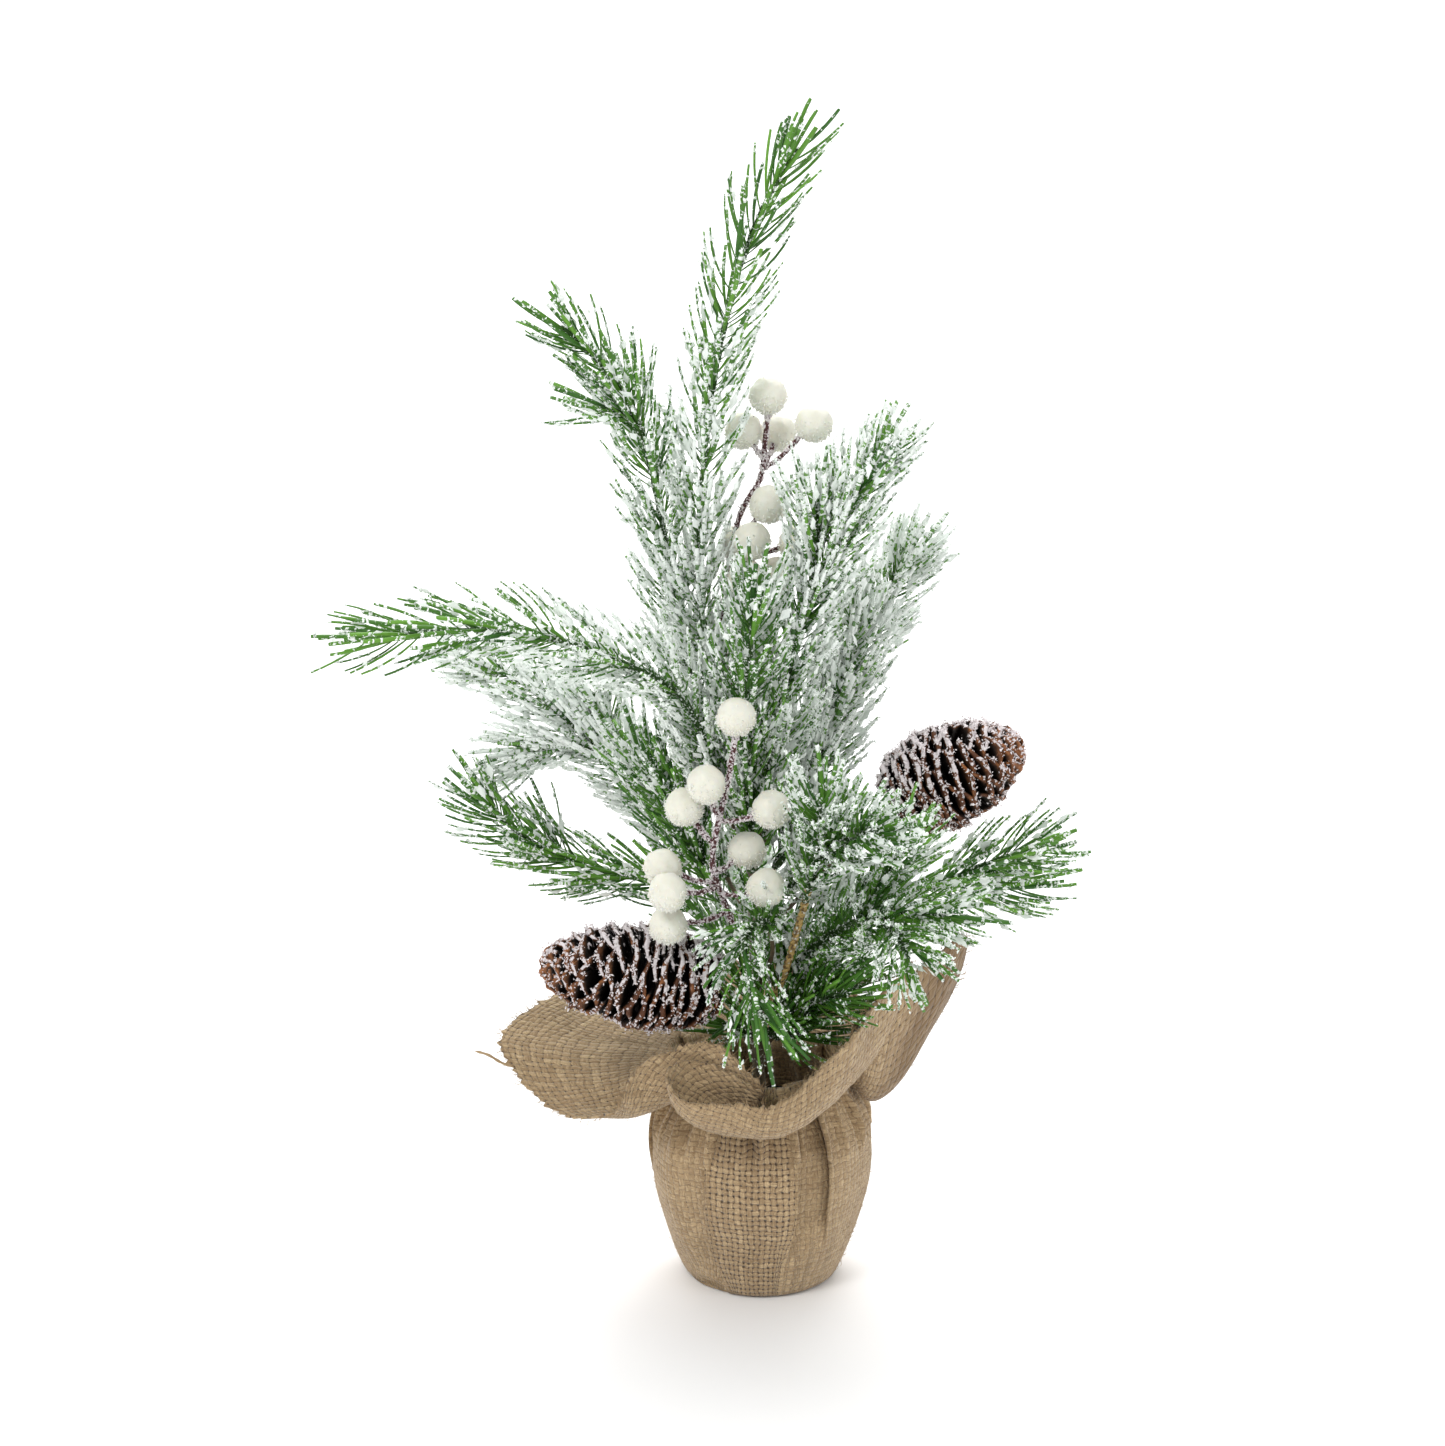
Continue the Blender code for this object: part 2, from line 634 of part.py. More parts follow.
class Branch:
    """One bendable wire with a moulded sprig, and the sprig's side shoots."""

    def __init__(self, name, points_mm, bare_mm, shoots_mm):
        self.name = name
        self.route = Route(points_mm)
        self.bend = Bend(name, self.route, upright=name == "leader")
        self.bare = bare_mm * MM
        self.ribs = [Rib(f"{name}_sprig", self.route, self.bare, FIRST_WHORL)]
        for i, shoot in enumerate(shoots_mm):
            self.ribs.append(Rib(f"{name}_shoot_{i + 1}", Route(shoot), 0.0, FIRST_WHORL))

    def claim_room(self, room):
        wire = [self.route.at(s) for s in even_stations(FIRST_ROD, self.bare, ROD_LENGTH)]
        room.add_line(self.name, self.bend, wire, WIRE_RADIUS)
        for rib in self.ribs:
            room.add_line(self.name, self.bend, rib.points, RIB_RADIUS)

    def build(self, tree, cutters, materials, grown):
        pivot = pivot_at(self.name, self.bend.place, tree)
        stations = even_stations(0.0, self.bare + WIRE_HOLD - GAP, WIRE_STEP)
        mesh = tube_mesh(f"{self.name}_wire", [self.route.at(s) for s in stations], WIRE_RADIUS)
        shade_round(mesh)
        hang_on(pivot, add_object(f"{self.name}_wire", mesh, tree, materials["wire"]))
        for rib, needles in zip(self.ribs, grown):
            rib.grow(needles)
        sprig = add_object(f"{self.name}_sprig", self.ribs[0].mesh, tree, materials["needles"])
        for rib in self.ribs[1:]:
            cut_or_join(sprig, cutter_from(rib.name, rib.mesh, cutters), "UNION")
        stations = even_stations(self.bare - SOCKET_LEAD, self.bare + WIRE_HOLD, SOCKET_STEP)
        socket = tube_mesh(f"{self.name}_socket", [self.route.at(s) for s in stations], SOCKET_RADIUS)
        cut_or_join(sprig, cutter_from(f"{self.name}_socket", socket, cutters), "DIFFERENCE")
        hang_on(pivot, sprig)


def choose_needles(branches, room):
    """Which needles grow: from the tips inwards, each that keeps clear of all that is there."""
    offers = []
    for order, branch in enumerate(branches):
        for number, rib in enumerate(branch.ribs):
            for whorl, centre, tip in rib.needle_faces():
                offers.append((len(rib.whorls) - whorl, order, number, centre, tip))
    offers.sort(key=lambda offer: offer[:3])
    grown = [[[] for _ in branch.ribs] for branch in branches]
    for _, order, number, centre, tip in offers:
        branch = branches[order]
        if room.clear(branch.name, branch.bend, centre, tip, NEEDLE_RADIUS):
            room.add(branch.name, branch.bend, centre, tip, NEEDLE_RADIUS)
            grown[order][number].append((centre, tip))
    return grown


# ---------------------------------------------------------------- cones

class Cone:
    """A pine cone on its wire."""

    def __init__(self, name, wire_mm, tip_mm):
        self.name = name
        self.route = Route(wire_mm)
        self.bend = Bend(name, self.route)
        self.foot = self.route.at(self.route.length)
        self.axis = Vector(tip_mm) * MM - self.foot
        self.length = self.axis.length

    def radius_at(self, share):
        """Radius over the scales at a share of the cone's length from its foot."""
        return CONE_RADIUS * math.sin(math.pi * share**CONE_SHOULDER) ** CONE_FULLNESS

    def claim_room(self, room):
        stations = even_stations(FIRST_ROD, self.route.length, ROD_LENGTH)
        wire = [self.route.at(s) for s in stations]
        room.add_line(self.name, self.bend, wire, WIRE_RADIUS)
        for step in range(1, CONE_RINGS):
            share = step / CONE_RINGS
            middle = self.foot + self.axis * share
            room.add(self.name, self.bend, middle, middle, self.radius_at(share))

    def body_mesh(self):
        """A sphere drawn into the cone's outline, with every second face drawn out as a scale."""
        shape = bmesh.new()
        bmesh.ops.create_uvsphere(shape, u_segments=CONE_COLUMNS, v_segments=CONE_RINGS, radius=1.0)
        for vert in shape.verts:
            share = math.acos(max(-1.0, min(1.0, -vert.co.z))) / math.pi
            around = Vector((vert.co.x, vert.co.y, 0.0))
            core = max(0.0, self.radius_at(share) - CONE_SCALE_STAND)
            around = around.normalized() * core if around.length > 1e-6 else around
            vert.co = (around.x, around.y, share * self.length)
        shape.normal_update()
        for face in [face for face in shape.faces if len(face.verts) == 4]:
            centre = face.calc_center_median()
            ring = round(centre.z / self.length * CONE_RINGS - 0.5)
            column = round(math.atan2(centre.y, centre.x) / (2 * math.pi) * CONE_COLUMNS - 0.5)
            if (ring + column) % 2:
                tip = centre + face.normal * CONE_SCALE_STAND + Vector((0, 0, CONE_SCALE_STAND / 3))
                poked = bmesh.ops.poke(shape, faces=[face])
                poked["verts"][0].co = tip
        mesh = bpy.data.meshes.new(self.name)
        shape.to_mesh(mesh)
        shape.free()
        return mesh

    def build(self, tree, cutters, materials):
        pivot = pivot_at(self.name, self.bend.place, tree)
        hold = self.axis.normalized() * WIRE_HOLD
        points = [self.route.at(s) for s in even_stations(0.0, self.route.length, WIRE_STEP)]
        wire = tube_mesh(f"{self.name}_wire", [*points, self.foot + hold * 0.95], WIRE_RADIUS)
        shade_round(wire)
        hang_on(pivot, add_object(f"{self.name}_wire", wire, tree, materials["wire"]))
        body = add_object(self.name, self.body_mesh(), tree, materials["cone"])
        body.location = self.foot
        body.rotation_mode = "QUATERNION"
        body.rotation_quaternion = self.axis.to_track_quat("Z", "Y")
        ends = [self.foot - hold / 2, self.foot + hold]
        bore = tube_mesh(f"{self.name}_bore", ends, CONE_BORE_RADIUS)
        cut_or_join(body, cutter_from(f"{self.name}_bore", bore, cutters), "DIFFERENCE")
        hang_on(pivot, body)


# ---------------------------------------------------------------- berry picks

class Pick:
    """A stem with stalks, and a berry on the end of each."""

    def __init__(self, side, stem_mm, top_mm, stalks_mm):
        self.side = side
        self.name = f"berry_stem_{side}"
        self.route = Route(stem_mm)
        self.bend = Bend(self.name, self.route)
        end = self.route.at(self.route.length)
        self.berries = [(end, Vector(top_mm) * MM)]
        self.berries += [(Vector(foot) * MM, Vector(centre) * MM) for foot, centre in stalks_mm]

    def claim_room(self, room):
        stations = even_stations(FIRST_ROD, self.route.length, ROD_LENGTH)
        stem = [self.route.at(s) for s in stations]
        room.add_line(self.name, self.bend, stem, BERRY_STEM_RADIUS)
        for foot, centre in self.berries:
            room.add(self.name, self.bend, foot, centre, STALK_RADIUS)
            room.add(self.name, self.bend, centre, centre, BERRY_RADIUS)

    def build(self, tree, cutters, materials):
        pivot = pivot_at(self.name, self.bend.place, tree)
        stations = even_stations(0.0, self.route.length, WIRE_STEP)
        mesh = tube_mesh(self.name, [self.route.at(s) for s in stations], BERRY_STEM_RADIUS)
        stem = add_object(self.name, mesh, tree, materials["stem"])
        for i, (foot, centre) in enumerate(self.berries):
            way = (foot - centre).normalized()
            inner = centre + way * (BERRY_RADIUS - STALK_HOLD)
            start = self.route.at(self.route.length - 2 * MM) if i == 0 else foot
            stalk = tube_mesh(f"{self.name}_stalk_{i + 1}", [start, inner], STALK_RADIUS)
            cut_or_join(stem, cutter_from(stalk.name, stalk, cutters), "UNION")
            self.build_berry(i + 1, centre, way, pivot, tree, cutters, materials)
        hang_on(pivot, stem)

    def build_berry(self, number, centre, way, pivot, tree, cutters, materials):
        name = f"berry_{self.side}_{number}"
        shape = bmesh.new()
        bmesh.ops.create_uvsphere(shape, u_segments=10, v_segments=6, radius=BERRY_RADIUS)
        mesh = bpy.data.meshes.new(name)
        shape.to_mesh(mesh)
        shape.free()
        mesh.shade_smooth()
        berry = add_object(name, mesh, tree, materials["berry"])
        berry.location = centre
        berry.rotation_mode = "QUATERNION"
        berry.rotation_quaternion = way.to_track_quat("Z", "Y")
        mouth = centre + way * (BERRY_RADIUS + 2 * MM)
        depth = centre + way * (BERRY_RADIUS - STALK_HOLD - GAP)
        bore = tube_mesh(f"{name}_bore", [mouth, depth], BERRY_BORE_RADIUS)
        cut_or_join(berry, cutter_from(f"{name}_bore", bore, cutters), "DIFFERENCE")
        hang_on(pivot, berry)


# ---------------------------------------------------------------- the tree

def claim_base(room):
    """The trunk and the collar, which don't move."""
    trunk = [trunk_place(height) for height in even_stations(NECK_HEIGHT, TRUNK_TOP, TRUNK_STEP)]
    room.add_line("base", None, trunk, TRUNK_RADIUS)
    for column in range(COLLAR_DOTS[0]):
        for row in range(COLLAR_DOTS[1] + 1):
            angle = 2 * math.pi * column / COLLAR_DOTS[0]
            place = collar_point(angle, row / COLLAR_DOTS[1])
            room.add("base", None, place, place, COLLAR_ROOM)


def moving_pieces():
    branches = [Branch(name, *values) for name, values in BRANCHES_MM.items()]
    cones = [Cone(name, *values) for name, values in CONES_MM.items()]
    picks = [Pick(side, *values) for side, values in PICKS_MM.items()]
    return branches, cones, picks


def main():
    for thing in list(bpy.data.objects):
        bpy.data.objects.remove(thing)
    tree = bpy.data.collections.new("artificial_tabletop_tree")
    cutters = bpy.data.collections.new("cutters")
    bpy.context.scene.collection.children.link(tree)
    bpy.context.scene.collection.children.link(cutters)
    materials = make_materials()
    make_pot(tree, materials)
    make_weight(tree, materials)
    make_wrap(tree, materials)
    make_tie(tree, materials)
    make_trunk(tree, materials)
    branches, cones, picks = moving_pieces()
    room = Room()
    claim_base(room)
    for piece in (*branches, *cones, *picks):
        piece.claim_room(room)
    for branch, grown in zip(branches, choose_needles(branches, room)):
        branch.build(tree, cutters, materials, grown)
    for piece in (*cones, *picks):
        piece.build(tree, cutters, materials)


main()
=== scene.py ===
"""Looks of the artificial tabletop tree: frosted needle sprays, cones, berries and the burlap wrap.

Everything is in the CAD's frame, in metres, with +Z up and the front facing -Y. Places in the
tables are in millimetres, and each is scaled once by MM where it is used. The branch, cone and
pick routes are those of part.py, but for front_low's end and some small shoots.
"""
import math

import bmesh
import bpy
import numpy as np
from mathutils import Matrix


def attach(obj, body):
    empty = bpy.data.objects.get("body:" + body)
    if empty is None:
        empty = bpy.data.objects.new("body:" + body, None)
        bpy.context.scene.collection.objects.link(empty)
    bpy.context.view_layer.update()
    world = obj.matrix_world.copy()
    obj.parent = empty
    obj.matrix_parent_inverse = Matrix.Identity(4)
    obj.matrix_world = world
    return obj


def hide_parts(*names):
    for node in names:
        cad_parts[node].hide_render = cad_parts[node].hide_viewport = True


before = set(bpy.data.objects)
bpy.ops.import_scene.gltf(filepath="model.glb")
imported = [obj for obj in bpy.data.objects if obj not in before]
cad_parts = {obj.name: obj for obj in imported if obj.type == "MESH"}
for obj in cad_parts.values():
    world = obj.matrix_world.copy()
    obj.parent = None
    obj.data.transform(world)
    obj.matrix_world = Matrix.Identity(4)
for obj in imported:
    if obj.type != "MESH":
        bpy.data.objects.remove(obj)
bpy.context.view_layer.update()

MM = 0.001
SEED = 41
GOLDEN_ANGLE = math.radians(137.508)
SKYWARD = np.array([0.0, 0.0, 1.0])

# ---- what is where, in millimetres

# Each branch: route from the trunk to the tip, bare wire before the needles, side shoots, and
# how much frost lies on it at its foot and at its tip: 0 is bare green, 1 is thickly flocked
BRANCHES = {
    "leader": (
        [(-5, 0, 193), (-10, 2, 215), (-23, 5, 265), (-22, 5, 319), (-16, 2, 364),
         (-6, 0, 402), (4, 0, 424), (12, 0, 437)], 12, [], (1.4, 0.25)),
    "upper_left": (
        [(-8.6, 3.4, 182), (-19, 12, 212), (-31, 17, 252), (-37, 14, 292), (-46, 8, 335),
         (-60, 5, 358), (-74, 0, 373)], 14,
        [[(-47, 8, 336), (-54, 8, 340), (-61, 8, 342)],
         [(-45, 8, 331), (-48, 9, 339), (-50, 10, 346)]], (1.25, 0.45)),
    "left_long": (
        [(-8.6, -3.2, 174), (-16, -12, 200), (-30, -22, 238), (-60, -32, 257), (-88, -38, 267),
         (-117, -42, 268), (-144, -45, 266)], 14, [], (1.3, 0.35)),
    "left_mid": (
        [(-8, 3.4, 150), (-20, 20, 166), (-39, 30, 181), (-67, 45, 203), (-91, 55, 222),
         (-115, 60, 233)], 12,
        [[(-65, 44, 201), (-79, 50, 200), (-95, 56, 196)],
         [(-48, 35, 188), (-56, 42, 204), (-66, 48, 222)]], (1.5, 1.4)),
    "left_low": (
        [(-7, 4.2, 127), (-22, 18, 138), (-40, 30, 149), (-71, 38, 154), (-95, 42, 166),
         (-112, 45, 181)], 12,
        [[(-69, 38, 154), (-78, 38, 159), (-84, 38, 166)]], (0.55, 0.55)),
    "left_inner": (
        [(-8, -2.4, 142), (-20, 2, 158), (-30, 5, 176), (-41, 6, 197), (-47, 8, 208)], 12,
        [[(-20, 2, 158), (-26, -2, 180), (-34, -4, 205)]], (0.4, 0.7)),
    "right_upper": (
        [(-1.6, -3.4, 176), (4, -9, 213), (12, -12, 255), (25, -10, 288), (33, -8, 310),
         (44, -8, 328)], 14,
        [[(19, -11, 273), (20, -12, 293), (19, -12, 310)]], (1.1, 1.1)),
    "right_back": (
        [(-0.6, 3.6, 167), (8, 16, 198), (23, 30, 224), (38, 40, 246), (50, 45, 265),
         (58, 45, 279)], 12, [], (1.6, 1.3)),
    "right_mid": (
        [(0.4, 3.6, 152), (14, 14, 184), (27, 20, 216), (34, 24, 244), (35, 27, 263)], 12,
        [[(5, 7, 163), (12, 4, 172), (20, 0, 184)],
         [(2, 5, 150), (9, 0, 156), (17, -4, 166)],
         [(3, 6, 158), (5, 4, 148), (9, 2, 138)]],
        (1.3, 1.4)),
    "right_far": (
        [(1, 3.6, 124), (14, 9, 137), (30, 12, 149), (65, 14, 153), (86, 11, 163),
         (107, 7, 172)], 12,
        [[(69, 13, 154), (86, 16, 152), (103, 18, 155)]], (0.8, 0.5)),
    "right_low": (
        [(3.2, -1.5, 118), (16, -10, 133), (27, -24, 147), (43, -49, 163), (67, -65, 168)], 12,
        [[(42, -49, 162), (47, -67, 162), (52, -84, 158)],
         [(35, -36, 154), (44, -40, 172), (53, -41, 188)]], (0.6, 0.7)),
    "front_right": (
        [(0.6, -4.1, 106), (8, -18, 127), (16, -35, 164), (21, -50, 186), (31, -72, 199),
         (40, -90, 208)], 66,
        [[(21, -50, 186), (21, -60, 199), (20, -69, 211)]], (0.7, 0.8)),
    "front_low": (
        [(-0.6, -4.4, 120), (4, -18, 138), (0, -42, 158), (-7, -60, 156), (-4, -75, 141),
         (1, -81, 131)], 42, [], (0.75, 0.3)),
    "front_inner": (
        [(2, -3, 94), (10, -13, 108), (21, -26, 121), (33, -38, 128)], 10,
        [[(7, -9, 103), (19, -12, 112), (30, -15, 121)],
         [(5, -7, 99), (11, -16, 103), (17, -25, 109)],
         [(0, -6, 100), (-5, -12, 116), (-8, -16, 134)],
         [(3, -4, 97), (7, -3, 113), (11, 1, 132)],
         [(4, -6, 99), (14, -8, 112), (24, -10, 127)],
         [(0, -5, 97), (-9, -11, 104), (-15, -22, 110)],
         [(6, -3, 104), (20, -1, 114), (36, 2, 124)]], (0.22, 0.32)),
    "centre_mid": (
        [(-3.6, -4.3, 154), (-4, -11, 186), (-7, -21, 224), (-5, -28, 256), (-3, -29, 280)], 12, [],
        (0.55, 0.8)),
    "back_upper": (
        [(-3.6, 4.2, 160), (-4, 20, 190), (-4, 38, 222), (-5, 50, 252)], 12, [], (0.9, 0.8)),
    "back_low": (
        [(-2.8, 4.2, 108), (-4, 28, 130), (-7, 58, 146), (-9, 86, 152)], 12, [], (0.9, 0.8)),
}

# Each cone: its wire's route to the cone's foot, and the middle of the cone's tip
CONES = {
    "cone_left": ([(-5.8, -2.6, 110), (-11, -16, 119), (-16, -30, 128)], (-81, -45, 142)),
    "cone_right": ([(1.2, -0.6, 138), (20, 0, 160), (36, 0, 178), (48, 0, 191)], (95, -5, 215)),
}

# Each pick: its stem's route, the top berry, then (foot of the stalk, berry) pairs, and last the
# pairs of berries that hang deep in the spray and have no CAD solid of their own
PICKS = {
    "front": (
        [(-2.4, -5, 100), (-5, -19, 130), (-13, -31, 158), (-18.5, -39, 178), (-17, -43, 194),
         (-13, -42, 212), (-10, -44.4, 230)],
        (-10, -45, 237),
        [((-16, -43, 198), (-21, -50, 213)), ((-18, -42, 188), (-29, -42, 202)),
         ((-16.4, -43, 197), (3, -45, 202)), ((-18.5, -39, 176), (-6, -34, 183)),
         ((-15.6, -34, 166), (1, -48, 173)), ((-17, -36, 171), (-37, -46, 180)),
         ((-16.4, -35, 169), (-35, -60, 175)), ((-13, -31, 158), (-35, -50, 159))], []),
    "back": (
        [(-2, 3.4, 182), (-8, 11, 215), (-14, 13, 245), (-14, 13, 268), (-9, 14, 298),
         (-1, 16, 313), (1, 16.4, 328), (2, 15.4, 338)],
        (2, 15, 345),
        [((0, 16, 317), (19, 12, 335)), ((-11, 14, 290), (2, 8, 305)),
         ((0, 16, 318), (6, 31, 328)), ((-14, 13, 266), (-6, 2, 278)),
         ((-12, 13.6, 284), (13, 14, 289))],
        [((0.5, 16, 322), (-7, 20, 331)), ((-11, 14, 289), (-4, 4, 292)),
         ((-13, 13, 276), (-9, 18, 288)), ((-12.5, 13.4, 272), (6, 13, 277))]),
}

POT_FLOOR = 1.5 * MM
POT_HEIGHT = 60.0 * MM
POT_RADII = (27.0 * MM, 37.0 * MM)
POT_WALL = 1.5 * MM
POT_LIP = 1.2 * MM
WEIGHT_HEIGHT = 38.0 * MM
WEIGHT_HOLE = 3.2 * MM
TIE_RADIUS = 36.1 * MM
TIE_HEIGHT = 82.0 * MM
TIE_TWISTS = 46
TIE_STRAND = 0.52 * MM
TRUNK_TOP = 189.0 * MM
TRUNK_LEAN = 5.0 * MM
TRUNK_RADIUS = 2.5 * MM
TRUNK_FLAKES = 420

WIRE_RADIUS = 0.85 * MM
WIRE_HOLD = 7.0 * MM
RIB_RADII = (1.5 * MM, 0.8 * MM)
NEEDLES_PER_MM = 1.75
NEEDLE_LENGTH = 28.0 * MM
TUFT_PITCH = 27.0 * MM
TUFT_SWING = 3.0 * MM
NEEDLE_RADIUS = 0.82 * MM
NEEDLE_FLATNESS = 0.5
NEEDLE_LEAN = (45, 17)  # degrees from the shoot, near the needle's foot and near its tip
NEEDLE_TAPER = np.array([0.5, 0.8, 1.0, 1.05, 1.05, 1.05, 0.9])  # share of its radius, foot to tip
MOST_FROST = 1.1  # the level above which no more crumbs are added
CRUSTS_PER_NEEDLE = 5.0
CRUMBS_PER_NEEDLE = 8.0
FILMS_PER_NEEDLE = 5.0

# The branch with a long bare stem, which is two strands of twisted wire with buds
GOLDEN_BRANCH = "front_right"
GOLDEN_PITCH = 5.0 * MM
GOLDEN_OFFSET = 0.6 * MM
GOLDEN_RADIUS = 0.95 * MM
BUD_PLACES = (0.30, 0.46, 0.62, 0.74, 0.88)
BUD_RADII = np.array([0.5, 0.9, 1.1, 1.1, 0.9, 0.55, 0.15]) * MM

CONE_RADIUS = 19.5 * MM
CONE_SHOULDER = 0.8
CONE_FULLNESS = 0.39
CONE_SCALES = 126
SCALE_TILT = (8, 62, 16)  # degrees towards the cone's tip: at its foot, and two steps added on the way up
# The core is painted near-black, as painted shade deep between the scales
CONE_CORE = 0.45  # the dark core's share of the cone's radius
SCALE_HALF_WIDTH = 9.4 * MM
SCALE_RIM = 1.7 * MM
SCALE_ROOT = 0.9 * MM
SCALE_COLUMNS = 9
SCALE_STEPS = np.array([0, 0.2, 0.4, 0.6, 0.76, 0.88, 0.96, 1.0])  # from the root to the rim
DUST_PER_SCALE = 42

BERRY_RADIUS = 7.1 * MM
PICK_RADIUS = 1.3 * MM
STALK_RADIUS = 0.85 * MM
STALK_HOLD = 2.6 * MM
CRYSTAL_TRIES = 780
FLOCK_PER_STATION = 8
FLOCK_RADIUS = 1.15 * MM

# Burlap: the bag's side up to the neck, then the collar by columns round the neck
BAG_SIDE_MM = ((28, 0), (32, 5), (39, 24), (43.6, 43), (43.2, 62), (37, 76), (34.5, 82), (37.5, 89))
COLLAR_MM = (
    # degrees at the neck; degrees, radius and height at the drape; the same at the cut edge
    (-2, -4, 46, 40, -1, 79, 138),
    (8, 6, 50, 62, 3, 76, 117),
    (19, 16, 52, 74, 7, 67, 101),
    (30, 32, 50, 80, 24, 55, 91),
    (42, 44, 48, 90, 43, 56, 97),
    (62, 64, 52, 92, 65, 60, 110),
    (90, 90, 58, 90, 90, 74, 100),
    (115, 115, 52, 92, 115, 62, 112),
    (140, 140, 56, 92, 140, 68, 106),
    (162, 163, 64, 94, 164, 88, 101),
    (180, 180, 70, 92, 180, 101, 95),
    (192, 192, 68, 86, 190, 93, 83),
    (204, 204, 62, 80, 204, 80, 76),
    (214, 214, 60, 72, 216, 71, 79),
    (222, 223, 62, 72, 225, 73, 90),
    (230, 231, 60, 76, 229, 66, 105),
    (238, 240, 55, 84, 241, 53, 112),
    (245, 250, 52, 84, 254, 49, 109),
    (252, 262, 50, 80, 271, 51, 94),
    (257, 256, 53, 78, 258, 53, 101),
    (261, 248, 57, 76, 246, 58, 106),
    (264, 243, 62, 74, 240.5, 65, 106),
    (266, 242, 66, 72, 240, 70, 102),
    (269, 248, 66, 68, 247, 69, 95),
    (274, 260, 65, 66, 259, 67, 94),
    (282, 272, 64, 66, 272.6, 66, 93),
    (291, 283, 62, 68, 283, 64, 99),
    (299, 292, 61, 72, 292, 62, 108),
    (310, 306, 58, 78, 306, 59, 117),
    (322, 319, 54, 84, 320, 58, 125),
    (332, 331, 50, 88, 340, 62, 133),
    (336, 327, 45, 90, 333, 53, 122),
    (339, 318, 43, 92, 322, 46, 106),
    (342, 322, 42, 92, 330, 48, 116),
    (347, 346, 42, 46, 350, 66, 132),
)
# Folds in the bag: degrees, width in degrees, side that lies on top (1 towards larger angles),
# lowest height that they reach, depth
BAG_FOLDS_MM = (
    (243, 20, 1, -6, 4.2),
    (286, 15, -1, 12, 2.6),
    (308, 18, 1, 16, 3.6),
    (344, 13, -1, 50, 1.4),
    (16, 20, 1, 20, 2.6),
    (44, 18, -1, 24, 2.6),
    (78, 20, 1, 12, 2.8),
    (112, 18, -1, 26, 2.4),
    (146, 20, 1, 6, 2.8),
    (172, 16, -1, 30, 2.2),
    (206, 13, 1, 50, 1.4),
)
CLOTH_THICKNESS = 0.9 * MM
THREAD_PITCH = 2.35 * MM
CLOTH_COLUMNS = 420
BAG_ROWS = 72
COLLAR_ROWS = 46
BELLY_ROW = 46
FRONT_PANEL = (243, 286)
COLLAR_UV_ROW = -18  # the collar row whose length sets how far round the square each column lies
FUZZ_FIBRES = 5200
FUZZ_AT_EDGE = 1500
FUZZ_FIRST_ROW = 20
FUZZ_RADIUS = 0.085 * MM
LOOSE_THREAD_AT = 186  # degrees, on the cut edge of the left corner
LOOSE_THREAD_RADIUS = 0.55 * MM

CAMERA_PLACE = (-0.015, -1.1591, 0.5331)
CAMERA_DIP = 15  # degrees that it looks down
CAMERA_LENS = 79.04
WORLD_LIGHT = 0.68
TREE_MIDDLE = (0.0, 0.0, 0.2)
LIGHTS = (
    # name, place, point that it faces, size, watts
    ("key", (-0.8, -1.2, 1.5), TREE_MIDDLE, 0.6, 13.5),
    ("fill", (1.2, -1.0, 0.9), TREE_MIDDLE, 1.0, 4.5),
    ("rim", (0.4, 1.2, 1.3), TREE_MIDDLE, 0.9, 4),
    ("floor_near", (0.0, 1.8, 2.6), (0.0, 2.2, 0.0), 3.0, 70),
    ("floor_far", (0.0, 8.0, 5.0), (0.0, 8.0, 0.0), 11.0, 620),
)


# ---- curves and arrays

def unit(vectors):
    return vectors / np.maximum(np.linalg.norm(vectors, axis=-1, keepdims=True), 1e-12)


def catmull_rom(before, start, stop, after, t):
    lean_in = (stop - before) / 2
    lean_out = (after - start) / 2
    return (
        start * (2 * t**3 - 3 * t**2 + 1)
        + lean_in * (t**3 - 2 * t**2 + t)
        + stop * (3 * t**2 - 2 * t**3)
        + lean_out * (t**3 - t**2)
    )


def smooth_step(low, high, value):
    share = np.clip((value - low) / (high - low), 0.0, 1.0)
    return share * share * (3 - 2 * share)


class Route:
    """A smooth curve through a few points in millimetres, read by the distance along it in metres."""

    def __init__(self, points_mm):
        knots = np.array(points_mm, float) * MM
        padded = [2 * knots[0] - knots[1], *knots, 2 * knots[-1] - knots[-2]]
        line = [knots[0]]
        for before, start, stop, after in zip(padded, padded[1:], padded[2:], padded[3:]):
            line += [catmull_rom(before, start, stop, after, step / 24) for step in range(1, 25)]
        self.points = np.array(line)
        steps = np.linalg.norm(np.diff(self.points, axis=0), axis=1)
        self.distances = np.concatenate([[0.0], np.cumsum(steps)])
        self.length = float(self.distances[-1])

    def at(self, distance):
        return np.stack([np.interp(distance, self.distances, self.points[:, i]) for i in range(3)], axis=-1)

    def direction(self, distance):
        low = np.maximum(np.asarray(distance) - MM, 0.0)
        high = np.minimum(np.asarray(distance) + MM, self.length)
        return unit(self.at(high) - self.at(low))


def across(directions):
    """Two vectors square to each direction and to each other."""
    start = np.eye(3)[int(np.argmin(np.abs(directions.mean(axis=0))))]
    side = unit(np.cross(directions, start))
    return side, np.cross(directions, side)


def carried_sides(path):
    """Directions along one path, and side vectors that turn as little as they can."""
    along = unit(np.gradient(path, axis=0))
    side = np.eye(3)[int(np.argmin(np.abs(along[0])))]
    sides = []
    for direction in along:
        side = unit(side - direction * (side @ direction))
        sides.append(side)
    return along, np.array(sides)


# ---- gathering faces into meshes

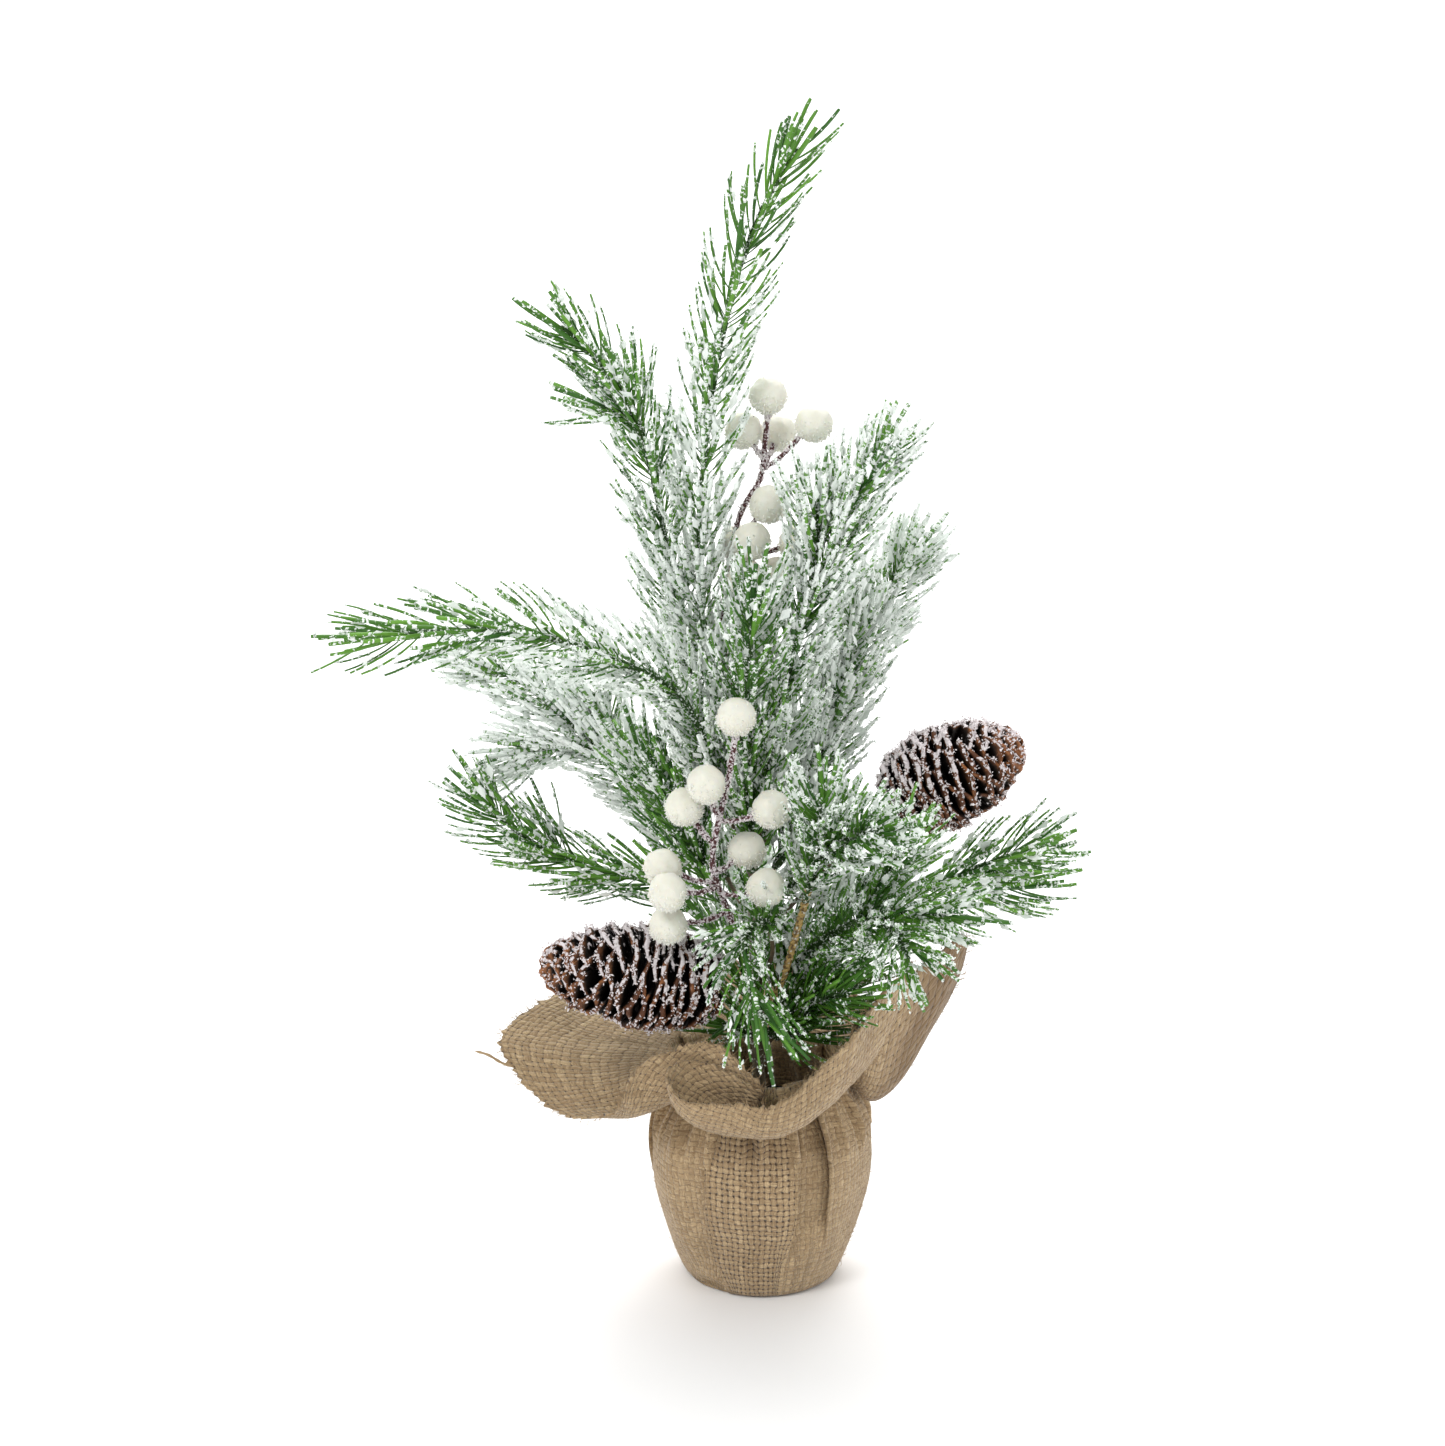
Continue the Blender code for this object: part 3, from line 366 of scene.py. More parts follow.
class Shape:
    """Points and faces gathered from many small forms and made into one object."""

    def __init__(self):
        self.count = 0
        self.points = []
        self.faces = {3: [], 4: []}
        self.values = {}

    def add(self, points, faces, **values):
        """Faces index these points; each value is one number per point, or one for all."""
        self.points.append(points)
        for some in faces:
            self.faces[some.shape[1]].append(some + self.count)
        for key, value in values.items():
            self.values.setdefault(key, []).append(np.broadcast_to(value, (len(points),)))
        self.count += len(points)

    def mesh(self, name):
        mesh = bpy.data.meshes.new(name)
        kinds = [np.concatenate(self.faces[size]) for size in (3, 4) if self.faces[size]]
        loops = np.concatenate([kind.ravel() for kind in kinds])
        sizes = np.concatenate([np.full(len(kind), kind.shape[1]) for kind in kinds])
        starts = np.concatenate([[0], np.cumsum(sizes)[:-1]])
        mesh.vertices.add(self.count)
        mesh.vertices.foreach_set("co", np.concatenate(self.points).astype(np.float32).ravel())
        mesh.loops.add(len(loops))
        mesh.loops.foreach_set("vertex_index", loops.astype(np.int32))
        mesh.polygons.add(len(sizes))
        mesh.polygons.foreach_set("loop_start", starts.astype(np.int32))
        mesh.update(calc_edges=True)
        for key, parts in self.values.items():
            attribute = mesh.attributes.new(key, "FLOAT", "POINT")
            attribute.data.foreach_set("value", np.concatenate(parts).astype(np.float32))
        return mesh

    def make(self, name, material, body, slot, replaces=(), smooth=True):
        mesh = self.mesh(name)
        mesh.polygons.foreach_set("use_smooth", np.full(len(mesh.polygons), smooth))
        return dress(name, mesh, material, body, replaces)


def add_object(name, data):
    thing = bpy.data.objects.new(name, data)
    bpy.context.scene.collection.objects.link(thing)
    return thing


def dress(name, mesh, material, body, replaces=()):
    """Puts a finished mesh in the scene as a piece that rides on a body."""
    piece = add_object(name, mesh)
    mesh.materials.append(material)
    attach(piece, body)
    if replaces:
        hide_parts(*replaces)
    return piece


def add_tubes(shape, paths, radii, sides=4, flatness=1.0, wide=None, carried=None, **values):
    """Closed tubes. Paths are tubes x stations x 3, radii are tubes x stations. A flat tube is
    broad along its wide vector."""
    tubes, stations = paths.shape[:2]
    if carried is None:
        along = unit(np.gradient(paths, axis=1))
        side = across(unit(paths[:, -1] - paths[:, 0]))[0] if wide is None else wide
        side = side[:, None, :] - along * np.sum(along * side[:, None, :], axis=2, keepdims=True)
        side = unit(side)
    else:
        along, side = carried[0][None], carried[1][None]
    other = np.cross(along, side)
    turn = np.arange(sides) * (2 * math.pi / sides)
    ring = (
        np.cos(turn)[None, None, :, None] * side[:, :, None, :]
        + flatness * np.sin(turn)[None, None, :, None] * other[:, :, None, :]
    )
    points = paths[:, :, None, :] + ring * radii[:, :, None, None]
    here = np.arange(sides)
    after = (here + 1) % sides
    level = (np.arange(stations - 1) * sides)[:, None]
    one = np.stack([level + here, level + after, level + sides + after, level + sides + here], axis=-1)
    offsets = (np.arange(tubes) * stations * sides)[:, None, None]
    quads = (one.reshape(1, -1, 4) + offsets).reshape(-1, 4)
    fan = np.stack([np.zeros(sides - 2, int), here[2:], here[1:-1]], axis=1)
    last = fan[:, ::-1] + (stations - 1) * sides
    caps = (np.concatenate([fan, last])[None] + offsets).reshape(-1, 3)
    spread = {
        key: np.repeat(np.broadcast_to(value, (tubes, stations)).reshape(-1), sides)
        for key, value in values.items()
    }
    shape.add(points.reshape(-1, 3), [quads, caps], **spread)


CORNERS = np.array([(1, 0, 0), (0, 1, 0), (0, 0, 1), (-1, 0, 0), (0, -1, 0), (0, 0, -1)], float)
CORNER_FACES = np.array([
    (0, 1, 2), (1, 3, 2), (3, 4, 2), (4, 0, 2), (1, 0, 5), (3, 1, 5), (4, 3, 5), (0, 4, 5),
])


def add_flakes(shape, centres, sizes, rng, stretch=(1.7, 0.75, 0.75), towards=None, spread=0.45):
    """Irregular eight-sided crumbs. Sizes in mm are one for each, or a (low, high) range. Crumbs
    with a direction lie along it, give or take the spread."""
    count = len(centres)
    if isinstance(sizes, tuple):
        sizes = rng.uniform(*sizes, count)
    sizes = sizes * MM
    long = rng.normal(size=(count, 3))
    if towards is not None:
        long = long * spread + towards
    long = unit(long)
    wide = rng.normal(size=(count, 3))
    wide = unit(wide - long * np.sum(wide * long, axis=1, keepdims=True))
    deep = np.cross(long, wide)
    axes = np.stack([long * stretch[0], wide * stretch[1], deep * stretch[2]], axis=1)
    uneven = rng.uniform(0.55, 1.25, (count, 6, 1))
    points = (CORNERS[None] * uneven * sizes[:, None, None]) @ axes + centres[:, None, :]
    faces = CORNER_FACES[None] + (np.arange(count) * 6)[:, None, None]
    shape.add(points.reshape(-1, 3), [faces.reshape(-1, 3)])


def add_line(shape, path, radii, sides=8, **values):
    """One smooth tube along a path."""
    add_tubes(shape, path[None], radii[None], sides, carried=carried_sides(path), **values)


# ---- materials

class Paint:
    """A Principled material built up from nodes. Patterns are set in the piece's own space."""

    def __init__(self, name, roughness, **sockets):
        self.material = bpy.data.materials.new(name)
        self.material.use_nodes = True
        self.tree = self.material.node_tree
        self.shader = self.tree.nodes["Principled BSDF"]
        self.shader.inputs["Roughness"].default_value = roughness
        for key, value in sockets.items():
            self.shader.inputs[key.replace("_", " ")].default_value = value
        self.place = self.tree.nodes.new("ShaderNodeTexCoord").outputs["Object"]

    def node(self, kind, inputs, **settings):
        node = self.tree.nodes.new(kind)
        for key, value in settings.items():
            setattr(node, key, value)
        for key, value in inputs.items():
            if isinstance(value, bpy.types.NodeSocket):
                self.tree.links.new(value, node.inputs[key])
            else:
                node.inputs[key].default_value = value
        return node

    def math(self, operation, first, second=0.0, clamp=False):
        inputs = {0: first, 1: second}
        return self.node("ShaderNodeMath", inputs, operation=operation, use_clamp=clamp).outputs[0]

    def plus(self, first, second, clamp=False):
        return self.math("ADD", first, second, clamp)

    def times(self, first, second):
        return self.math("MULTIPLY", first, second)

    def noise(self, size, detail=2.0, stretch=None, place=None):
        """Noise whose features are about size metres across."""
        place = place or self.place
        if stretch:
            place = self.node("ShaderNodeMapping", {"Vector": place, "Scale": stretch}).outputs[0]
        inputs = {"Vector": place, "Scale": 1.0 / size, "Detail": detail}
        return self.node("ShaderNodeTexNoise", inputs).outputs["Fac"]

    def between(self, value, low, high):
        inputs = {"Value": value, "From Min": low, "From Max": high}
        return self.node("ShaderNodeMapRange", inputs, interpolation_type="SMOOTHSTEP").outputs[0]

    def mix(self, share, first, second):
        colours = {}
        for key, value in ((6, first), (7, second)):
            colours[key] = value if isinstance(value, bpy.types.NodeSocket) else (*value, 1.0)
        node = self.node("ShaderNodeMix", {0: share, **colours}, data_type="RGBA")
        return node.outputs[2]

    def value(self, name):
        return self.node("ShaderNodeAttribute", {}, attribute_name=name).outputs["Fac"]

    def finish(self, colour, height=None, depth=0.0, roughness=None):
        if isinstance(colour, bpy.types.NodeSocket):
            self.tree.links.new(colour, self.shader.inputs["Base Color"])
        else:
            self.shader.inputs["Base Color"].default_value = (*colour, 1.0)
        if roughness is not None:
            self.tree.links.new(roughness, self.shader.inputs["Roughness"])
        if height is not None:
            bump = self.node("ShaderNodeBump", {"Height": height, "Distance": depth, "Strength": 1.0})
            self.tree.links.new(bump.outputs[0], self.shader.inputs["Normal"])
        return self.material


def needle_paint():
    paint = Paint("moulded_needles", 0.5, Specular_IOR_Level=0.3)
    green = paint.mix(paint.noise(9 * MM), (0.013, 0.068, 0.010), (0.048, 0.165, 0.018))
    green = paint.mix(paint.value("shade"), green, (0.125, 0.31, 0.032))
    veil = paint.times(paint.between(paint.value("frost"), 0.36, 0.62), 0.25)
    green = paint.mix(veil, green, (0.42, 0.56, 0.38))
    run = paint.times(paint.value("run"), 0.36)
    dashes = paint.node("ShaderNodeTexNoise", {"W": run, "Scale": 1.0, "Detail": 2.0}, noise_dimensions="1D")
    grain = paint.noise(0.8 * MM, 3.0)
    cover = paint.plus(paint.times(grain, 0.35), dashes.outputs[0])
    cover = paint.plus(cover, paint.value("frost"))
    cover = paint.between(cover, 1.14, 1.17)
    colour = paint.mix(cover, green, (0.84, 0.88, 0.84))
    rough = paint.node("ShaderNodeMapRange", {"Value": cover, "To Min": 0.45, "To Max": 0.85}).outputs[0]
    return paint.finish(colour, paint.plus(grain, cover), 0.12 * MM, rough)


def mottled(name, roughness, dark, light, grain, relief, depth, cover=None, **sockets):
    """Noise between two colours, patches of a third, and other noise as relief of some mm. The
    noises are (mm, detail); two more numbers are the values between which its edge lies."""
    paint = Paint(name, roughness, **sockets)

    def share(size, detail, low=None, high=None):
        noise = paint.noise(size * MM, detail)
        return noise if low is None else paint.between(noise, low, high)

    colour = paint.mix(share(*grain), dark, light)
    if cover:
        colour = paint.mix(share(*cover[0]), colour, cover[1])
    return paint.finish(colour, share(*relief), depth * MM)


def wire_paint():
    paint = Paint("wrapped_wire", 0.7)
    band = paint.noise(1.2 * MM, 2.0, stretch=(1, 1, 2.5))
    colour = paint.mix(band, (0.06, 0.045, 0.025), (0.20, 0.15, 0.08))
    return paint.finish(colour, band, 0.2 * MM)


def cone_paint():
    paint = Paint("cone_scales", 0.55, Specular_IOR_Level=0.25)
    grain = paint.noise(1.3 * MM, 4.0)
    brown = paint.mix(grain, (0.030, 0.009, 0.004), (0.13, 0.045, 0.016))
    warmth = paint.plus(paint.between(paint.noise(3 * MM, 3.0), 0.48, 0.75), paint.value("warm"), True)
    lit = paint.mix(warmth, brown, (0.29, 0.110, 0.036))
    # Painted shade: each scale goes near-black from its rim towards its root, and the core (reach 0) is
    # near-black, where the scales shade each other
    reach = paint.value("reach")
    colour = paint.mix(paint.between(reach, 0.66, 1.0), (0.004, 0.002, 0.001), lit)
    dust = paint.plus(paint.noise(2.4 * MM, 5.0), paint.value("dust"))
    colour = paint.mix(paint.between(dust, 0.97, 1.05), colour, (0.66, 0.61, 0.62))
    return paint.finish(colour, grain, 0.35 * MM)


def burlap_paint():
    """Plain weave. The UV map counts threads: whole numbers fall between two threads."""
    paint = Paint("burlap", 0.92, Sheen_Weight=0.2, Sheen_Roughness=0.5)
    threads = paint.tree.nodes.new("ShaderNodeUVMap").outputs[0]
    for scale, amount in ((0.10, 1.2), (0.5, 0.7), (1.6, 0.35)):
        wobble = paint.node("ShaderNodeTexNoise", {"Vector": threads, "Scale": scale, "Detail": 1.0})
        sway = paint.node("ShaderNodeVectorMath", {0: wobble.outputs["Color"], 1: (0.5, 0.5, 0.5)},
                          operation="SUBTRACT").outputs[0]
        sway = paint.node("ShaderNodeVectorMath", {0: sway, "Scale": amount}, operation="SCALE").outputs[0]
        threads = paint.node("ShaderNodeVectorMath", {0: threads, 1: sway}, operation="ADD").outputs[0]
    parts = paint.node("ShaderNodeSeparateXYZ", {0: threads})
    waves, rounds, tones = [], [], []
    for axis, stretch in ((0, (5, 0.7, 1)), (1, (0.7, 5, 1))):
        place = parts.outputs[axis]
        waves.append(paint.math("SINE", paint.times(place, math.pi)))
        fibres = paint.noise(1.0, 4.0, stretch=stretch, place=threads)
        number = paint.math("FLOOR", place)
        own = paint.node("ShaderNodeTexWhiteNoise", {"W": number}, noise_dimensions="1D").outputs["Value"]
        rounds.append(paint.math("ABSOLUTE", waves[-1]))
        tones.append(paint.plus(fibres, paint.times(own, 0.2)))
    both = paint.times(waves[0], waves[1])
    over = paint.between(both, -0.22, 0.22)
    pillow = paint.math("POWER", paint.math("ABSOLUTE", both), 0.5)
    strand = paint.node("ShaderNodeMix", {0: over, 2: rounds[1], 3: rounds[0]}).outputs[0]
    tone = paint.node("ShaderNodeMix", {0: over, 2: tones[1], 3: tones[0]}).outputs[0]
    height = paint.plus(paint.times(pillow, 0.5), paint.times(strand, 0.5))
    tight = paint.value("tight")
    light = paint.mix(paint.between(tone, 0.34, 0.84), (0.215, 0.137, 0.064), (0.66, 0.495, 0.290))
    light = paint.mix(paint.times(paint.noise(7 * MM, 4.0), 0.8), light, (0.37, 0.25, 0.135))
    # Painted shade: the weave is darker where it lies low, at each thread's edges and where threads pass
    # under, and less so where the weave is tight
    low = paint.between(paint.plus(height, paint.times(tight, 0.8)), 0.08, 0.72)
    colour = paint.mix(low, (0.215, 0.137, 0.070), light)
    open_weave = paint.plus(paint.math("MAXIMUM", rounds[0], rounds[1]), tight)
    open_weave = paint.plus(open_weave, paint.times(paint.noise(4 * MM), 0.6))
    hole = paint.between(open_weave, 0.92, 0.62)
    colour = paint.mix(hole, colour, (0.080, 0.050, 0.024))
    # Painted shade: the cloth's shade values darken the right corner and the collar's foot towards brown
    colour = paint.mix(paint.times(paint.value("shade"), 0.72), colour, (0.115, 0.062, 0.026))
    speck = paint.times(paint.between(paint.noise(0.55 * MM, 3.0), 0.45, 0.68), 0.4)
    colour = paint.mix(speck, colour, (0.24, 0.155, 0.078))
    relief = paint.plus(height, paint.times(tone, 0.5))
    relief = paint.math("SUBTRACT", relief, hole)
    return paint.finish(colour, relief, 0.55 * MM)


# ---- needle sprays

def bezier(foot, bend, tip, t):
    return (1 - t) ** 2 * foot + 2 * t * (1 - t) * bend + t**2 * tip


def grow_needles(shape, snow, route, start, frost, rng, first_share):
    """Needles round one shoot from a start to its tip, and the frost that lies on them. The
    frost's level runs on from a first share of the way between the branch's two levels."""
    fullness = min(frost[1], 1.0)
    count = int((route.length - start) / MM * NEEDLES_PER_MM * (0.55 + 0.45 * fullness))
    share = ((np.arange(count) + rng.uniform(0, 1, count)) / count) ** (1.5 - 0.5 * fullness)
    stations = start + (route.length - start) * share
    stations -= TUFT_SWING * np.sin(2 * math.pi * (route.length - stations) / TUFT_PITCH)
    along = route.direction(stations)
    side, other = across(along)
    turn = np.arange(count) * GOLDEN_ANGLE + rng.normal(0, 0.35, count)
    out = np.cos(turn)[:, None] * side + np.sin(turn)[:, None] * other
    near_tip = smooth_step(0.80, 1.0, share)
    lean_in = np.radians(rng.normal(NEEDLE_LEAN[0], 4, count) - 12 * near_tip)[:, None]
    lean_out = np.radians(rng.normal(NEEDLE_LEAN[1], 4, count) - 3 * near_tip)[:, None]
    length = NEEDLE_LENGTH * rng.uniform(0.93, 1.04, count)
    length *= 1 - 0.3 * (1 - smooth_step(0, 0.12, share)) - 0.16 * near_tip
    first = np.cos(lean_in) * along + np.sin(lean_in) * out
    last = np.cos(lean_out) * along + np.sin(lean_out) * out
    sway = rng.normal(0, 0.05, (count, 3))
    foot = route.at(stations) + out * RIB_RADII[1]
    bend = foot + first * (length * 0.5)[:, None]
    tip = bend + (last + sway) * (length * 0.5)[:, None]
    steps = np.linspace(0, 1, len(NEEDLE_TAPER))
    paths = bezier(foot[:, None], bend[:, None], tip[:, None], steps[None, :, None])
    radii = NEEDLE_RADIUS * rng.uniform(0.8, 1.15, count)[:, None] * NEEDLE_TAPER[None, :]
    tipward = smooth_step(0.25, 1.0, first_share + share * (1 - first_share))
    level = frost[0] + (frost[1] - frost[0]) * tipward
    white = 0.19 + 0.23 * level + rng.normal(0, 0.04, count)
    level = np.minimum(level, MOST_FROST)
    run = rng.uniform(0, 900, count)[:, None] + steps[None, :] * length[:, None] / MM
    tone = rng.uniform(0, 1, count)
    wide = np.cross(along, out)
    add_tubes(shape, paths, radii, 4, NEEDLE_FLATNESS, wide, run=run, shade=tone[:, None],
              frost=white[:, None] + 0.20 * (steps[None, :] - 0.6))

    def spots(each, low, high):
        """Points on the needles, each many on average, and the number of each point's needle."""
        amount = rng.poisson(each)
        needle = np.repeat(np.arange(count), amount)
        reach = np.clip(low + (high - low) * rng.beta(1.9, 1.0, len(needle)), 0, 1)[:, None]
        return bezier(foot[needle], bend[needle], tip[needle], reach), needle

    crusts, needle = spots(CRUSTS_PER_NEEDLE * (0.12 + 0.88 * level**1.2), 0.18, 0.99)
    lift = unit(rng.normal(size=crusts.shape) + SKYWARD * 0.5)
    crusts = np.repeat(crusts + lift * NEEDLE_RADIUS * 0.35, 3, axis=0)
    needle = np.repeat(needle, 3)
    grain = unit(tip - foot)[needle]
    crusts += grain * rng.normal(0, 0.75 * MM, (len(crusts), 1)) + rng.normal(0, 0.25 * MM, crusts.shape)
    add_flakes(snow, crusts, (0.36, 0.78), rng, (1.6, 1.0, 0.85), grain, 0.35)

    crumbs, needle = spots(CRUMBS_PER_NEEDLE * level**1.3, 0.25, 1.0)
    crumbs = np.repeat(crumbs, 3, axis=0)
    crumbs += rng.normal(0, 0.55 * MM, crumbs.shape)
    sizes = np.clip(rng.lognormal(math.log(0.33), 0.35, len(crumbs)), 0.18, 0.8)
    add_flakes(snow, crumbs, sizes, rng, (1.9, 0.8, 0.65))

    films, needle = spots(FILMS_PER_NEEDLE * np.clip(level - 0.3, 0, 1), 0.15, 0.85)
    films += wide[needle] * rng.normal(0, 1.5 * MM, (len(films), 1))
    add_flakes(snow, films, (0.8, 1.8), rng, (2.1, 0.95, 0.12), unit(tip - foot)[needle], 0.15)


def add_rib(shape, snow, route, start, frost, rng):
    """The spray's own stem, rough where needles leave it."""
    stations = np.linspace(start, route.length, max(12, int((route.length - start) / (1.6 * MM))))
    share = (stations - start) / (route.length - start)
    radii = RIB_RADII[0] + (RIB_RADII[1] - RIB_RADII[0]) * share
    radii *= 1 + 0.16 * np.sin(stations / (1.5 * MM)) + rng.normal(0, 0.05, len(stations))
    radii[0] *= 0.7
    radii[-1] *= 0.4
    add_line(shape, route.at(stations), radii, 8, frost=0.5, shade=0.0)
    count = int((route.length - start) / MM * 3 * (0.3 + 0.7 * min(max(frost), 1.0)))
    spots = route.at(rng.uniform(start, route.length, count))
    away = unit(rng.normal(size=spots.shape))
    add_flakes(snow, spots + away * 0.9 * RIB_RADII[0], (0.3, 0.7), rng)


def make_branch(name, points_mm, bare_mm, shoots_mm, frost, paints, rng):
    route = Route(points_mm)
    bare = bare_mm * MM
    needles, ribs, snow = Shape(), Shape(), Shape()
    add_rib(ribs, snow, route, bare, frost, rng)
    grow_needles(needles, snow, route, bare + 2 * MM, frost, rng, 0.0)
    for shoot_mm in shoots_mm:
        shoot = Route(shoot_mm)
        add_rib(ribs, snow, shoot, 0.0, frost, rng)
        grow_needles(needles, snow, shoot, 3 * MM, frost, rng, 0.5)
    needles.make(f"{name}_needles", paints["needles"], name, "needles", [f"{name}_sprig"])
    ribs.make(f"{name}_stem", paints["rib"], name, "needles")
    snow.make(f"{name}_frost", paints["snow"], name, "needles", smooth=False)
    wire = Shape()
    golden = name == GOLDEN_BRANCH
    stations = np.linspace(0.0, bare + WIRE_HOLD, max(10, int((bare + WIRE_HOLD) / (1.2 * MM))))
    if golden:
        add_golden_stem(wire, route, stations, rng)
    else:
        radii = WIRE_RADIUS * (1 + 0.08 * np.sin(stations / (0.8 * MM)))
        add_line(wire, route.at(stations), radii, 10)
    paint = paints["golden" if golden else "wire"]
    wire.make(f"{name}_bare_wire", paint, name, "branch_wire", [f"{name}_wire"])


def add_golden_stem(shape, route, stations, rng):
    """Two strands twisted round each other, with small dry buds."""
    fine = np.linspace(stations[0], stations[-1], len(stations) * 2)
    path = route.at(fine)
    along, side = carried_sides(path)
    other = np.cross(along, side)
    for strand in (0.0, math.pi):
        turn = (fine / GOLDEN_PITCH * 2 * math.pi + strand)[:, None]
        offset = (np.cos(turn) * side + np.sin(turn) * other) * GOLDEN_OFFSET
        wobble = GOLDEN_RADIUS * (1 + 0.12 * np.sin(fine / (2.1 * MM) + strand))
        add_line(shape, path + offset, wobble)
    for place in BUD_PLACES:
        spot = int(place * len(fine))
        turn = rng.uniform(0, 2 * math.pi)
        out = math.cos(turn) * side[spot] + math.sin(turn) * other[spot]
        steps = np.linspace(0, 1, len(BUD_RADII))[:, None]
        bud = path[spot] + (out * 1.6 + along[spot] * 1.4) * MM * steps
        add_line(shape, bud, BUD_RADII)


# ---- cones

def cone_radius(share):
    return CONE_RADIUS * np.sin(math.pi * np.clip(share, 0.001, 0.999) ** CONE_SHOULDER) ** CONE_FULLNESS


def cone_scale(half_width, length, lift, rng):
    """One woody scale from its root to its thick rim, as two skins of points: across x along x
    (sideways, outwards, forwards). The rim is a lens, thick in its middle, with a small knob."""
    u = np.linspace(-1, 1, SCALE_COLUMNS)[:, None]
    v = SCALE_STEPS[None, :]
    width = half_width * (0.40 + 0.60 * smooth_step(0, 0.6, v)) * (1 - 0.05 * smooth_step(0.9, 1, v))
    knob = 0.7 * MM * np.exp(-((u / 0.25) ** 2)) * v**8
    ragged = rng.normal(0, 0.45 * MM, (SCALE_COLUMNS, 1)) * v**4
    reach = length * v * (1 - 0.22 * np.abs(u) ** 2.4 * v) + knob + ragged
    wave = 0.8 * MM * np.sin(u * rng.uniform(2, 5) + rng.uniform(0, 6)) * v**3
    rough = rng.normal(0, 0.13 * MM, (SCALE_COLUMNS, len(SCALE_STEPS)))
    forward = lift * v**1.6 - 0.08 * length * u**2 * v + wave + rough
    rim = SCALE_RIM * min(half_width / SCALE_HALF_WIDTH + 0.35, 1.0)
    rim = rim * rng.uniform(0.65, 1.25, (SCALE_COLUMNS, 1))
    rim = rim * (1 - 0.65 * np.abs(u) ** 1.8) * smooth_step(0.45, 0.95, v)
    body = (SCALE_ROOT * (1 - 0.4 * u**2) + rim) * (1 - 0.45 * smooth_step(0.9, 1.0, v))
    upper = np.stack([u * width, reach, forward + body / 2], axis=-1)
    lower = np.stack([u * width, reach, forward - body / 2], axis=-1)
    return upper, lower


def scale_faces():
    """Faces of the closed form that a scale's two skins make."""
    count = SCALE_COLUMNS * len(SCALE_STEPS)
    index = np.arange(count).reshape(SCALE_COLUMNS, -1)
    top = np.stack([index[:-1, :-1], index[1:, :-1], index[1:, 1:], index[:-1, 1:]], axis=-1).reshape(-1, 4)
    rim = np.concatenate([index[:, 0], index[-1, 1:], index[-2::-1, -1], index[0, -2:0:-1]])
    after = np.roll(rim, -1)
    wall = np.stack([rim, rim + count, after + count, after], axis=-1)
    return [top, top[:, ::-1] + count, wall]


def make_cone(name, wire_mm, tip_mm, paints, rng):
    route = Route(wire_mm)
    foot = route.at(route.length)
    axis = np.array(tip_mm, float) * MM - foot
    length = float(np.linalg.norm(axis))
    axis = axis / length
    side, other = (vector[0] for vector in across(axis[None]))
    woody, dust = Shape(), Shape()
    stations = np.linspace(0.02, 0.90, 30)
    core = foot + axis * (stations * length)[:, None]
    # The core takes reach 0, so it is painted near-black as shade
    add_line(woody, core, cone_radius(stations) * CONE_CORE, 14, reach=0.0, dust=-1.0, warm=0.0)
    faces = scale_faces()
    for number in range(CONE_SCALES):
        share = 0.03 + 0.85 * ((number + 0.5) / CONE_SCALES) ** 0.86
        turn = number * GOLDEN_ANGLE + rng.normal(0, 0.05)
        out = math.cos(turn) * side + math.sin(turn) * other
        sideways = np.cross(axis, out)
        close = float(smooth_step(0.40, 0.96, share))
        tilt = SCALE_TILT[0] + SCALE_TILT[1] * close + SCALE_TILT[2] * smooth_step(0.78, 0.88, share)
        tilt = math.radians(tilt + rng.normal(0, 3))
        radius = float(cone_radius(share))
        root = foot + axis * (share * length - 2.5 * MM * (1 - close)) + out * radius * (0.36 - 0.18 * close)
        outwards = math.cos(tilt) * out + math.sin(tilt) * axis
        forwards = np.cross(outwards, sideways)
        reach = radius * 0.65 / max(math.cos(tilt), 0.85) * rng.uniform(0.96, 1.05)
        half = SCALE_HALF_WIDTH * (radius / CONE_RADIUS) ** 0.95 * rng.uniform(0.92, 1.08)
        skins = cone_scale(half, reach, 0.12 * reach, rng)
        placed = [
            root + skin[..., :1] * sideways + skin[..., 1:2] * outwards + skin[..., 2:] * forwards
            for skin in skins
        ]
        along = np.tile(np.linspace(0, 1, len(SCALE_STEPS)), 2 * SCALE_COLUMNS)
        skyward = 0.16 * float(out[2])
        white = 0.26 + 0.20 * smooth_step(0.8, 1.0, along) + skyward - 0.06 * close
        woody.add(np.concatenate([skin.reshape(-1, 3) for skin in placed]), faces,
                  reach=along, dust=white, warm=0.75 * smooth_step(0.62, 0.92, share))
        count = int(rng.poisson(DUST_PER_SCALE * (1 + skyward * 2) * (1 - 0.35 * close)))
        column = rng.integers(0, SCALE_COLUMNS, count)
        mix = rng.uniform(0, 1, (count, 1))
        centres = placed[0][column, -1] * mix + placed[1][column, -1] * (1 - mix)
        centres += rng.normal(0, 0.5 * MM, (count, 3)) + outwards * 0.15 * MM
        add_flakes(dust, centres, (0.22, 0.62), rng, (1.5, 0.8, 0.6))
    woody.make(f"{name}_scales", paints["cone"], name, "cone", [name])
    dust.make(f"{name}_dust", paints["pink_snow"], name, "cone", smooth=False)
    wire = Shape()
    stations = np.linspace(0.0, route.length, 28)
    path = np.concatenate([route.at(stations), [foot + axis * WIRE_HOLD]])
    add_line(wire, path, np.full(len(path), WIRE_RADIUS), 10)
    wire.make(f"{name}_bare_wire", paints["wire"], name, "branch_wire", [f"{name}_wire"])


# ---- berries

